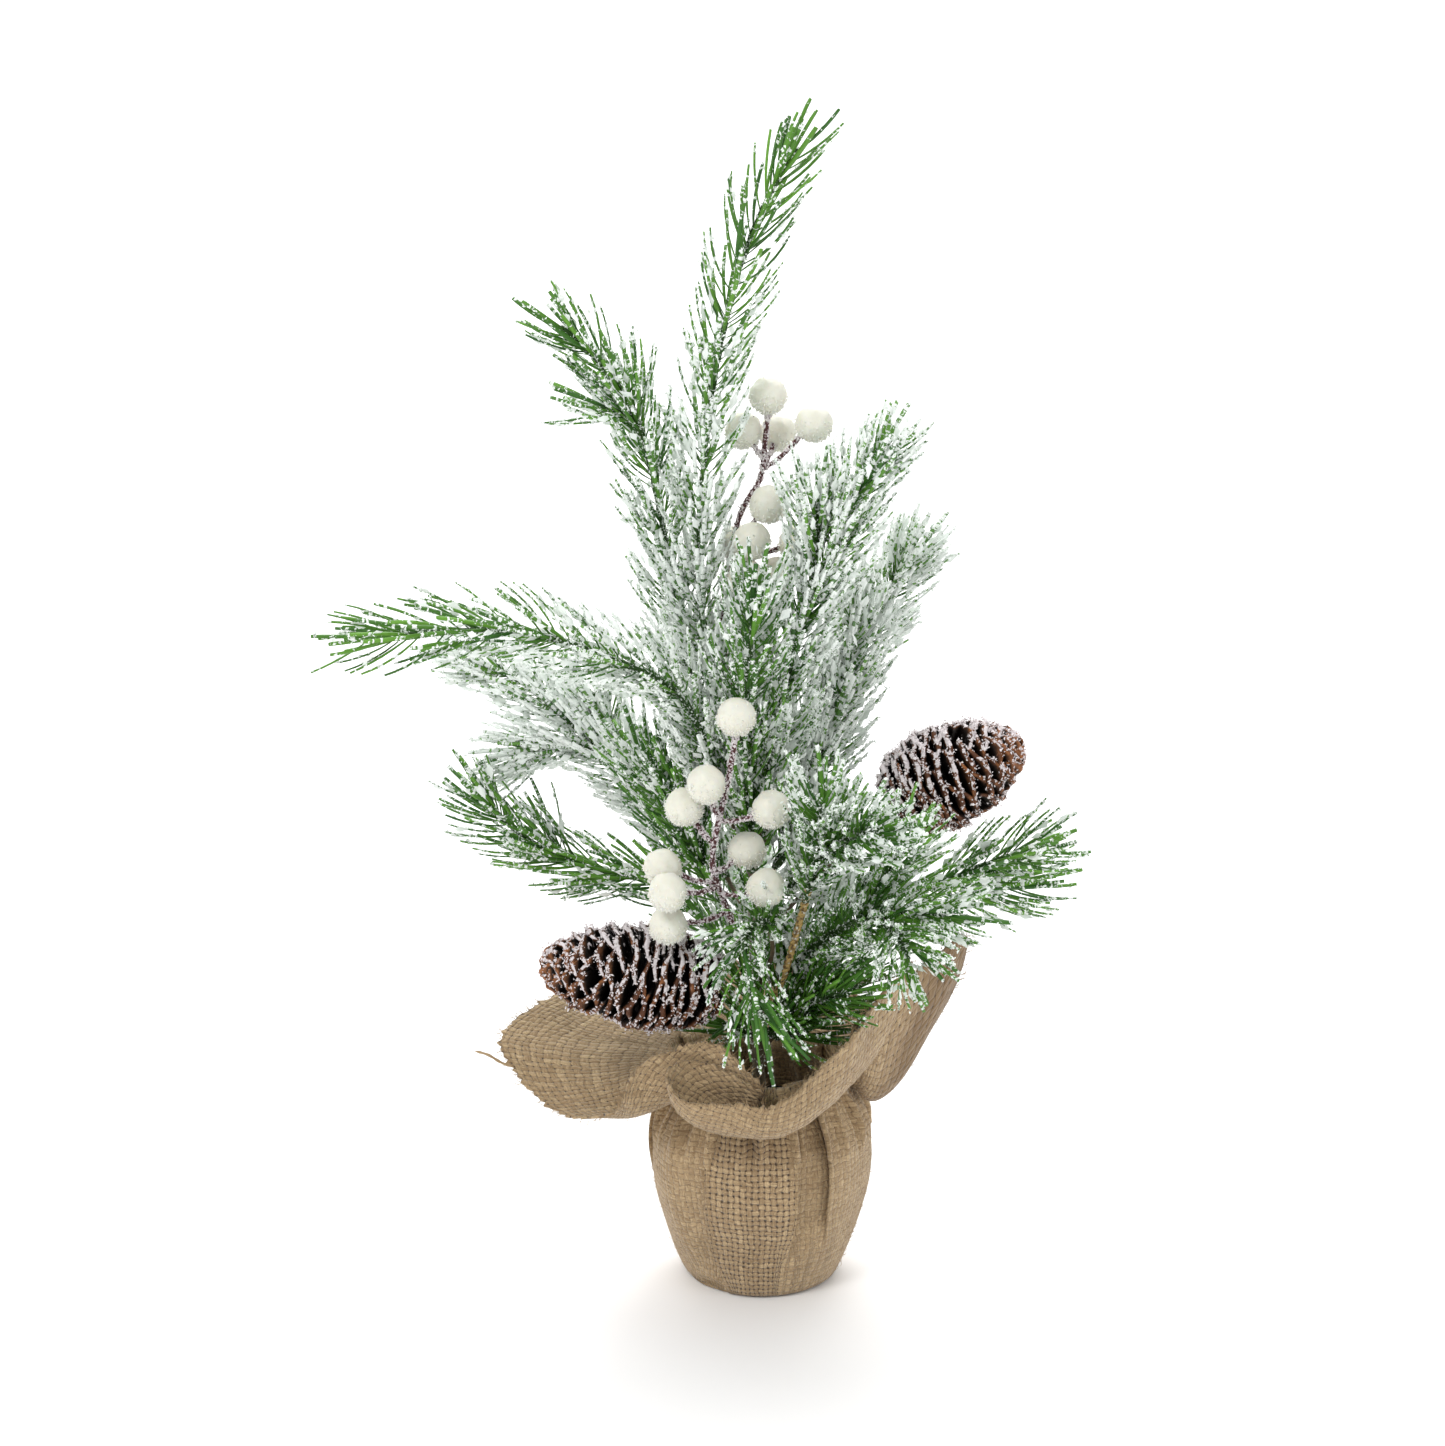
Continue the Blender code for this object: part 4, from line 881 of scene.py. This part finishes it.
def berry_mesh(name, centre, down, rng):
    """A slightly uneven ball, dimpled where its stalk goes in."""
    shape = bmesh.new()
    bmesh.ops.create_icosphere(shape, subdivisions=4, radius=1.0)
    mesh = bpy.data.meshes.new(name)
    shape.to_mesh(mesh)
    shape.free()
    points = np.zeros(len(mesh.vertices) * 3, np.float32)
    mesh.vertices.foreach_get("co", points)
    points = points.reshape(-1, 3).astype(float)
    waves = rng.normal(size=(14, 3)) * np.array([5.0] * 7 + [13.0] * 7)[:, None]
    phases = rng.uniform(0, 6.28, 14)
    bumps = np.sin(points @ waves.T + phases) @ np.array([0.010] * 7 + [0.005] * 7)
    facing = points @ down
    dimple = 0.10 * smooth_step(0.965, 1.0, facing)
    radius = BERRY_RADIUS * 0.985 * (1 + bumps - dimple)
    points = centre + points * radius[:, None]
    mesh.vertices.foreach_set("co", points.astype(np.float32).ravel())
    mesh.update()
    mesh.shade_smooth()
    return mesh


def add_crystals(snow, centre, rng):
    """Frost grains on a berry, thick below and nearly none on top."""
    ways = unit(rng.normal(size=(CRYSTAL_TRIES, 3)))
    keep = rng.uniform(size=len(ways)) < np.clip(0.30 - 0.80 * ways[:, 2], 0.02, 1)
    ways = ways[keep]
    sizes = rng.uniform(0.28, 0.55, len(ways))
    centres = centre + ways * (BERRY_RADIUS * 0.99 + rng.uniform(-0.1, 0.35, len(ways))[:, None] * MM)
    add_flakes(snow, centres, sizes, rng, (1.8, 0.7, 0.7), ways)


def make_pick(side, stem_mm, top_mm, stalks_mm, extra_mm, paints, rng):
    name = f"berry_stem_{side}"
    route = Route(stem_mm)
    wood, snow, crystals = Shape(), Shape(), Shape()
    stations = np.linspace(0, route.length, int(route.length / (1.3 * MM)))
    lumps = 1 + 0.14 * np.sin(stations / (1.9 * MM)) * np.sin(stations / (4.3 * MM))
    lumps += rng.normal(0, 0.05, len(stations))
    taper = np.interp(stations, [0, route.length], [1.0, 0.72])
    add_line(wood, route.at(stations), PICK_RADIUS * lumps * taper, 10)
    berries = [(route.at(route.length - 2 * MM), np.array(top_mm, float) * MM)]
    berries += [(np.array(a, float) * MM, np.array(b, float) * MM) for a, b in [*stalks_mm, *extra_mm]]
    lines = [route.at(stations)]
    for number, (foot, centre) in enumerate(berries):
        down = unit(foot - centre)
        end = centre + down * (BERRY_RADIUS - STALK_HOLD)
        t = np.linspace(0, 1, 14)[:, None]
        bow = np.array([0, 0, -1.6 * MM]) * np.sin(math.pi * t) * (number > 0)
        path = foot + (end - foot) * t + bow
        radii = STALK_RADIUS * (1 + 0.12 * np.sin(t[:, 0] * 19) + rng.normal(0, 0.05, 14))
        add_line(wood, path, radii)
        lines.append(path)
        known = number < len(stalks_mm) + 1
        label = f"berry_{side}_{number + 1}"
        mesh = berry_mesh(f"{label}_ball", centre, down, rng)
        dress(f"{label}_ball", mesh, paints["berry"], name, [label] if known else [])
        add_crystals(crystals, centre, rng)
    line = np.concatenate(lines)
    spots = line[rng.integers(0, len(line), len(line) * FLOCK_PER_STATION)]
    away = unit(rng.normal(size=spots.shape))
    add_flakes(snow, spots + away * FLOCK_RADIUS, (0.30, 0.72), rng)
    wood.make(f"{name}_wood", paints["pick"], name, "berry_stem", [name])
    snow.make(f"{name}_flock", paints["pink_snow"], name, "berry_stem", smooth=False)
    crystals.make(f"berries_{side}_crystals", paints["berry_snow"], name, "berry", smooth=False)


# ---- burlap

def cylinder(angle, radius, height):
    return np.stack([radius * np.cos(angle), radius * np.sin(angle), height], axis=-1)


def cloth_columns():
    """The collar's values for each column of the cloth, evenly spread along its cut edge."""
    table = np.array(COLLAR_MM, float)
    turn = np.array([360, 360, 0, 0, 360, 0, 0], float)
    rows = np.concatenate([table[-1:] - turn, table, table[:2] + turn])
    fine = []
    for before, start, stop, after in zip(rows, rows[1:], rows[2:], rows[3:]):
        fine += [catmull_rom(before, start, stop, after, step / 30) for step in range(30)]
    fine = np.array(fine + [table[0] + turn])
    rim = cylinder(np.radians(fine[:, 4]), fine[:, 5], fine[:, 6])
    drape = cylinder(np.radians(fine[:, 1]), fine[:, 2], fine[:, 3])
    step = np.linalg.norm(np.diff(rim, axis=0), axis=1)
    step += 0.6 * np.linalg.norm(np.diff(drape, axis=0), axis=1)
    step += 0.5 * np.abs(np.diff(np.radians(fine[:, 0]))) * BAG_SIDE_MM[3][0]
    length = np.concatenate([[0], np.cumsum(step)])
    wanted = np.linspace(0, length[-1], CLOTH_COLUMNS, endpoint=False)
    return np.stack([np.interp(wanted, length, fine[:, i]) for i in range(7)], axis=1)


def fold_shift(angle, height):
    """How the bag's folds move the cloth at an angle (degrees) and height (mm): degrees, mm."""
    turned = np.zeros_like(angle)
    sunk = np.zeros_like(angle)
    for middle, width, side, low, depth in BAG_FOLDS_MM:
        x = ((angle - middle + 180) % 360 - 180) / width + 0.5
        inside = (x > 0) & (x < 1)
        strength = smooth_step(low, low + 26, height)
        open_again = 1 - smooth_step(88, 96, height)
        swing = 0.36 * strength * open_again
        turned += np.where(inside, width * swing * np.sin(2 * math.pi * x), 0.0)
        way = x if side < 0 else 1 - x
        under = smooth_step(0.30, 0.62, way) * (1 - smooth_step(1.0, 1.9, way)) * (way > 0)
        sunk += depth * strength * open_again * under
    return turned, sunk


def cloth_rows():
    """The bag's outline as rows of (radius, 0, height) in mm, from the middle of its underside."""
    profile = Route([(0, 0, 0), (9, 0, 0), (19, 0, 0), *[(r, 0, z) for r, z in BAG_SIDE_MM]])
    rows = profile.at(np.linspace(1.2 * MM, profile.length, BAG_ROWS)) / MM
    rows[:, 2] = np.maximum(rows[:, 2], 0.1)
    return rows


def cloth_grid(rng):
    """Points of the cloth, rows x columns x 3 in metres, and each row's distance from its middle."""
    columns = cloth_columns()
    neck = columns[:, 0]
    turn = np.radians(neck)
    bag = cloth_rows()
    rows = []
    for radius, _, height in bag:
        share = smooth_step(54, 70, height) * (1 - smooth_step(74, 83, height))
        turned, sunk = fold_shift(neck, np.full_like(neck, height))
        gather = share * (1.5 * np.sin(turn * 27) + 1.0 * np.sin(turn * 43 + 1))
        swell = 0.8 * np.sin(turn * 5 + 0.6) * smooth_step(4, 30, height) * (1 - share)
        tucked = 2.6 * np.exp(-(((neck - 222) / 20) ** 2)) * (1 - smooth_step(6, 24, height)) * (height > 1)
        wide = radius - sunk + gather + swell - tucked
        if 3 < height < 64:
            wide = np.maximum(wide, pot_radius(height * MM) / MM + 2.6)
        rows.append(cylinder(np.radians(neck + turned), wide, np.full_like(neck, height)))
    lip_radius, _, lip_height = bag[-1]
    for t in np.linspace(0, 1, COLLAR_ROWS + 1)[1:]:
        turned, sunk = fold_shift(neck, np.full_like(neck, lip_height + 7 * t))
        angle = bezier(neck + turned, columns[:, 1], columns[:, 4], t)
        radius = bezier(lip_radius - sunk, columns[:, 2], columns[:, 5], t)
        height = bezier(lip_height, columns[:, 3], columns[:, 6], t)
        rows.append(cylinder(np.radians(angle), radius, height))
    grid = np.array(rows)
    waves = rng.normal(size=(10, 3)) * 0.11
    phases = rng.uniform(0, 6.28, 10)
    ripple = np.sin(grid @ waves.T + phases).sum(axis=-1)
    steps = np.linalg.norm(np.diff(grid, axis=0), axis=-1).mean(axis=1)
    away = np.concatenate([[0], np.cumsum(steps)])
    free = smooth_step(away[BAG_ROWS - 1], away[-1], away)[:, None]
    normal = grid_normals(grid)
    grid += normal * (ripple * free * 0.42)[..., None]
    teeth = np.where(np.arange(CLOTH_COLUMNS) % 2 == 0, 0.5, -0.35) + rng.normal(0, 0.45, CLOTH_COLUMNS)
    grid[-1] += unit(grid[-1] - grid[-2]) * teeth[:, None]
    return grid * MM, away * MM, columns


def grid_normals(grid):
    round_way = np.roll(grid, -1, axis=1) - np.roll(grid, 1, axis=1)
    return unit(np.cross(round_way, np.gradient(grid, axis=0)))


def run_round(row):
    """Distance round a closed row of the cloth, from its first column and back to it."""
    steps = np.linalg.norm(np.diff(row, axis=0, append=row[:1]), axis=1)
    return np.concatenate([[0], np.cumsum(steps)])


def cloth_threads(grid, away):
    """UV in threads for each face corner: on the bag upright and round the belly, and on the
    collar the flat cloth's own grid, unrolled round the middle of the square."""
    rows, count = grid.shape[:2]
    belly = run_round(grid[BELLY_ROW])
    collar_turn = run_round(grid[COLLAR_UV_ROW]) / away[COLLAR_UV_ROW] + math.radians(20)
    uv = np.zeros((rows - 1, count, 4, 2))
    for k, (up, on) in enumerate(((0, 0), (0, 1), (1, 1), (1, 0))):
        far = away[np.arange(rows - 1) + up][:, None]
        column = np.arange(count) + on
        flat_turn = collar_turn[column][None, :]
        on_collar = np.stack([far * np.cos(flat_turn), far * np.sin(flat_turn)], axis=-1)
        around = belly[column][None, :] + 0 * far
        on_bag = np.stack([around, far + 0 * around], axis=-1)
        collar = (np.arange(rows - 1) >= BAG_ROWS - 1)[:, None, None]
        uv[:, :, k] = np.where(collar, on_collar, on_bag)
    return uv / THREAD_PITCH


def weave_tightness(rows, columns):
    """How closely the threads lie at each point: loose on the front panel, tight at the folds."""
    turn = (columns[:, 0] - FRONT_PANEL[0]) / (FRONT_PANEL[1] - FRONT_PANEL[0])
    inside = smooth_step(0.02, 0.14, turn) * (1 - smooth_step(0.86, 0.98, turn))
    tight = np.full((rows, len(columns)), 0.24)
    tight[:BAG_ROWS] = 0.38 - 0.37 * inside
    return tight


def cloth_painted_shade(rows, columns):
    """How much painted shade darkens the cloth at each point: the right corner and the collar's foot are
    painted darker, as shade.
    """
    neck = (columns[:, 0] + 180) % 360 - 180
    corner = smooth_step(-16, -11, neck) * (1 - smooth_step(26, 40, neck))
    shade = np.zeros((rows, len(columns)))
    shade[BAG_ROWS:] = 0.85 * corner
    height = np.linspace(0, 1, rows - BAG_ROWS)[:, None]
    shade[BAG_ROWS:] += (0.35 - 0.35 * smooth_step(0.0, 0.6, height)) * (1 - corner)
    return shade


def make_burlap(paints, rng):
    grid, away, columns = cloth_grid(rng)
    rows, count = grid.shape[:2]
    index = np.arange(rows * count).reshape(rows, count)
    after = np.roll(index, -1, axis=1)
    quads = np.stack([index[:-1], after[:-1], after[1:], index[1:]], axis=-1).reshape(-1, 4)
    tight = weave_tightness(rows, columns).reshape(-1)
    # Painted shade for the right corner and the collar's foot
    shade = cloth_painted_shade(rows, columns).reshape(-1)
    shape = Shape()
    shape.add(grid.reshape(-1, 3), [quads], tight=tight, shade=shade)
    # The underside's middle is one more point, and its fan counts back to the first row
    fan = np.stack([np.full(count, rows * count), after[0], index[0]], axis=1) - rows * count
    shape.add(grid[0].mean(axis=0)[None], [fan], tight=0.3, shade=0.0)
    mesh = shape.mesh("burlap_cloth")
    uv = mesh.uv_layers.new(name="threads")
    flat = np.concatenate([np.zeros((count * 3, 2)), cloth_threads(grid, away).reshape(-1, 2)])
    uv.data.foreach_set("uv", flat.astype(np.float32).ravel())
    mesh.shade_smooth()
    cloth = dress("burlap_cloth", mesh, paints["burlap"], "base", ["burlap_wrap"])
    skin = cloth.modifiers.new("thickness", "SOLIDIFY")
    skin.thickness = CLOTH_THICKNESS
    skin.offset = -1.0
    fuzz = make_fuzz(grid, paints, rng)
    thread = make_loose_thread(grid, columns, paints)


def make_fuzz(grid, paints, rng):
    """Short fibres that stand off the cloth, more of them along its cut edge."""
    shape = Shape()
    normal = grid_normals(grid)
    rows, count = grid.shape[:2]
    total = FUZZ_FIBRES
    anywhere = total - FUZZ_AT_EDGE
    row = np.concatenate([rng.integers(FUZZ_FIRST_ROW, rows, anywhere), np.full(FUZZ_AT_EDGE, rows - 1)])
    column = rng.integers(0, count, total)
    start = grid[row, column]
    out = normal[row, column]
    side = unit(grid[row, (column + 1) % count] - start)
    up = np.cross(out, side)
    turn = rng.uniform(0, 2 * math.pi, total)[:, None]
    flat = np.cos(turn) * side + np.sin(turn) * up
    edge = (np.arange(total) >= anywhere)[:, None]
    outwards = unit(grid[-1, column] - grid[-4, column])
    flat = np.where(edge, unit(outwards * 1.2 + flat * 0.8), flat)
    length = (rng.uniform(1.0, 3.6, total) * MM * np.where(row < BAG_ROWS, 0.5, 1.0))[:, None]
    face = np.where(rng.uniform(size=(total, 1)) < 0.5, 0.0, -CLOTH_THICKNESS) + 0 * length
    lift = np.where(face < 0, -1.0, 1.0)
    start = start + out * face
    t = np.linspace(0, 1, 5)[None, :, None]
    curl = rng.normal(0, 0.35, (total, 3))
    paths = start[:, None] + (flat * length)[:, None] * t
    paths += (out * lift * length * 0.55)[:, None] * np.sin(t * math.pi * 0.75)
    paths += (curl * length)[:, None] * t**2
    taper = np.array([1, 1, 0.9, 0.75, 0.4])
    add_tubes(shape, paths, FUZZ_RADIUS * taper[None, :] * np.ones((total, 1)), 3)
    return shape.make("burlap_fuzz", paints["fibre"], "base", "burlap")


def make_loose_thread(grid, columns, paints):
    """A thread that has worked loose from the left corner's cut edge."""
    column = int(np.argmin(np.abs(columns[:, 4] - LOOSE_THREAD_AT)))
    root = grid[-1, column] / MM
    shape = Shape()
    tail = Route([
        grid[-4, column] / MM, root, root + (-5, -2, 2.5), root + (-10, -4, 6.5), root + (-15, -5, 8.5),
    ])
    stations = np.linspace(0, tail.length, 40)
    radii = LOOSE_THREAD_RADIUS * (1 + 0.15 * np.sin(stations / (0.7 * MM)))
    radii[-4:] *= (0.9, 0.75, 0.55, 0.3)
    add_line(shape, tail.at(stations), radii)
    return shape.make("burlap_loose_thread", paints["fibre"], "base", "burlap")


# ---- pot, weight, tie and trunk

def turned_shape(profile, steps=72):
    """A closed body turned round Z from (radius, height) points that run down its outer side."""
    shape = Shape()
    turn = np.arange(steps) * 2 * math.pi / steps
    rings = np.array([cylinder(turn, np.full(steps, r), np.full(steps, z)) for r, z in profile])
    index = np.arange(len(profile) * steps).reshape(len(profile), steps)
    index = np.concatenate([index, index[:1]])
    after = np.roll(index, -1, axis=1)
    quads = np.stack([index[:-1], index[1:], after[1:], after[:-1]], axis=-1).reshape(-1, 4)
    shape.add(rings.reshape(-1, 3), [quads])
    return shape


def pot_radius(height):
    share = (height - POT_FLOOR) / POT_HEIGHT
    return POT_RADII[0] + (POT_RADII[1] - POT_RADII[0]) * share


def make_pot_and_weight(paints):
    top = POT_FLOOR + POT_HEIGHT
    inner = POT_FLOOR + POT_WALL
    tiny = 0.2 * MM
    profile = [(tiny, inner)]
    profile += [(pot_radius(z) - POT_WALL, z) for z in np.linspace(inner, top, 12)]
    for out, down in ((0.7, 0), (1, 0.3), (1, 1.8), (0.3, 2.4)):
        profile.append((pot_radius(top) + out * POT_LIP, top - down * POT_LIP))
    profile += [(pot_radius(z), z) for z in np.linspace(top - 3 * POT_LIP, POT_FLOOR + 0.8 * MM, 12)]
    profile += [(pot_radius(POT_FLOOR) - 0.8 * MM, POT_FLOOR), (tiny, POT_FLOOR)]
    turned_shape(profile).make("pot_shell", paints["pot"], "base", "pot", ["pot"])
    floor = inner + 0.3 * MM
    crown = floor + WEIGHT_HEIGHT
    profile = [(WEIGHT_HOLE, floor)]
    for w in np.linspace(0, 1, 14):
        radius = WEIGHT_HOLE + (pot_radius(crown) - 2.4 * MM - WEIGHT_HOLE) * w
        profile.append((radius, crown - 0.5 * MM * math.sin(9 * w) ** 2))
    profile += [(pot_radius(z) - 2.2 * MM, z) for z in np.linspace(crown - 1.2 * MM, floor, 8)]
    turned_shape(profile).make("weight_cast", paints["plaster"], "base", "weight", ["weight"])


def make_tie(paints):
    """Two-strand twine round the neck."""
    shape = Shape()
    turn = np.linspace(0, 2 * math.pi, 420)
    for strand in (0.0, math.pi):
        twist = turn * TIE_TWISTS + strand
        radius = TIE_RADIUS + 0.5 * MM * np.cos(twist)
        height = TIE_HEIGHT + 0.5 * MM * np.sin(twist)
        path = cylinder(turn, radius, height)
        add_line(shape, path, np.full(len(path), TIE_STRAND))
    shape.make("neck_twine", paints["fibre"], "base", "tie", ["neck_tie"])


def make_trunk(paints, rng):
    shape, snow = Shape(), Shape()
    heights = np.linspace(POT_FLOOR + POT_WALL + 0.3 * MM, TRUNK_TOP, 130)
    path = np.stack([-TRUNK_LEAN * (heights / TRUNK_TOP) ** 2, 0 * heights, heights], axis=1)
    lumps = 1 + 0.06 * np.sin(heights / (2.4 * MM)) + 0.05 * np.sin(heights / (5.1 * MM))
    lumps += rng.normal(0, 0.02, len(heights))
    lumps[-3:] *= (0.95, 0.8, 0.5)
    add_line(shape, path, TRUNK_RADIUS * lumps, 14)
    shape.make("trunk_rod", paints["trunk"], "base", "trunk", ["trunk"])
    spots = path[rng.integers(50, len(path), TRUNK_FLAKES)]
    away = unit(rng.normal(size=spots.shape) * np.array([1, 1, 0.2]))
    add_flakes(snow, spots + away * TRUNK_RADIUS, (0.3, 0.7), rng)
    snow.make("trunk_frost", paints["snow"], "base", "trunk", smooth=False)


# ---- studio

def make_camera():
    data = bpy.data.cameras.new("camera")
    camera = add_object("camera", data)
    camera.location = CAMERA_PLACE
    camera.rotation_euler = (math.radians(90 - CAMERA_DIP), 0, 0)
    data.lens = CAMERA_LENS
    data.sensor_width = 36.0
    bpy.context.scene.camera = camera


def make_light(name, place, aim, size, power):
    data = bpy.data.lights.new(name, "AREA")
    data.energy = power
    data.size = size
    light = add_object(name, data)
    light.location = place
    way = np.array(aim) - np.array(place)
    light.rotation_euler = (
        math.atan2(math.hypot(way[0], way[1]), -way[2]), 0, math.atan2(way[1], way[0]) - math.pi / 2)


def make_studio():
    scene = bpy.context.scene
    scene.view_settings.view_transform = "Standard"
    world = bpy.data.worlds.new("studio")
    scene.world = world
    world.use_nodes = True
    background = world.node_tree.nodes["Background"]
    background.inputs["Color"].default_value = (1.0, 1.0, 1.0, 1.0)
    background.inputs["Strength"].default_value = WORLD_LIGHT
    for light in LIGHTS:
        make_light(*light)
    bpy.ops.mesh.primitive_plane_add(size=120.0, location=(0, 0, -0.0002))
    floor = bpy.context.object
    floor.name = "floor"
    paint = Paint("pale_floor", 0.9)
    grain = paint.noise(0.25, 2.0)
    floor.data.materials.append(paint.finish(paint.mix(grain, (0.88, 0.88, 0.88), (0.91, 0.91, 0.91))))


# ---- the tree

def make_paints():
    flock = ((2.2, 3), (0.35, 2), 0.08)
    return {
        "needles": needle_paint(),
        "rib": mottled(
            "moulded_stem", 0.6, (0.012, 0.045, 0.008), (0.045, 0.10, 0.018), (5, 2), (0.8, 3), 0.25,
            ((1.1, 3, 0.58, 0.62), (0.66, 0.70, 0.66)), Specular_IOR_Level=0.3),
        "snow": mottled("flock_white", 0.7, (0.80, 0.87, 0.82), (0.93, 0.95, 0.92), *flock),
        "pink_snow": mottled("flock_on_wood", 0.7, (0.62, 0.56, 0.58), (0.86, 0.82, 0.82), *flock),
        "berry_snow": mottled("berry_crystals", 0.7, (0.74, 0.73, 0.66), (0.86, 0.86, 0.81), *flock),
        "wire": wire_paint(),
        "golden": mottled(
            "bare_golden_stem", 0.5, (0.13, 0.070, 0.018), (0.62, 0.42, 0.15), (1.6, 4, 0.35, 0.62),
            (0.9, 3), 0.3, ((1.5, 3, 0.58, 0.66), (0.75, 0.72, 0.62))),
        "trunk": mottled(
            "taped_trunk", 0.4, (0.07, 0.06, 0.045), (0.26, 0.23, 0.17), (4, 4), (1.6, 4), 0.4,
            Coat_Weight=0.35, Coat_Roughness=0.3),
        "cone": cone_paint(),
        "berry": mottled(
            "berry_skin", 0.55, (0.68, 0.67, 0.57), (0.80, 0.79, 0.71), (3.5, 3), (0.7, 3), 0.15,
            Subsurface_Weight=0.25, Subsurface_Radius=(0.003, 0.002, 0.001)),
        "pick": mottled(
            "flocked_pick", 0.8, (0.030, 0.008, 0.009), (0.11, 0.036, 0.036), (3, 2), (1.0, 4), 0.35,
            ((1.0, 4, 0.54, 0.60), (0.62, 0.52, 0.56))),
        "burlap": burlap_paint(),
        "fibre": mottled(
            "jute_fibre", 0.85, (0.25, 0.155, 0.075), (0.52, 0.38, 0.22), (2, 2), (0.4, 2), 0.05),
        "pot": mottled(
            "nursery_pot", 0.5, (0.010, 0.010, 0.011), (0.022, 0.022, 0.023), (1.5, 3), (1.5, 3), 0.05),
        "plaster": mottled(
            "cast_plaster", 0.9, (0.52, 0.50, 0.45), (0.76, 0.75, 0.70), (1.2, 5), (1.2, 5), 0.3),
    }


make_camera()
make_studio()
paints = make_paints()
rng = np.random.default_rng(SEED)
make_burlap(paints, rng)
make_pot_and_weight(paints)
make_tie(paints)
make_trunk(paints, rng)
for name, (points, bare, shoots, frost) in BRANCHES.items():
    make_branch(name, points, bare, shoots, frost, paints, rng)
for name, (wire, tip) in CONES.items():
    make_cone(name, wire, tip, paints, rng)
for side, (stem, top, stalks, extra) in PICKS.items():
    make_pick(side, stem, top, stalks, extra, paints, rng)
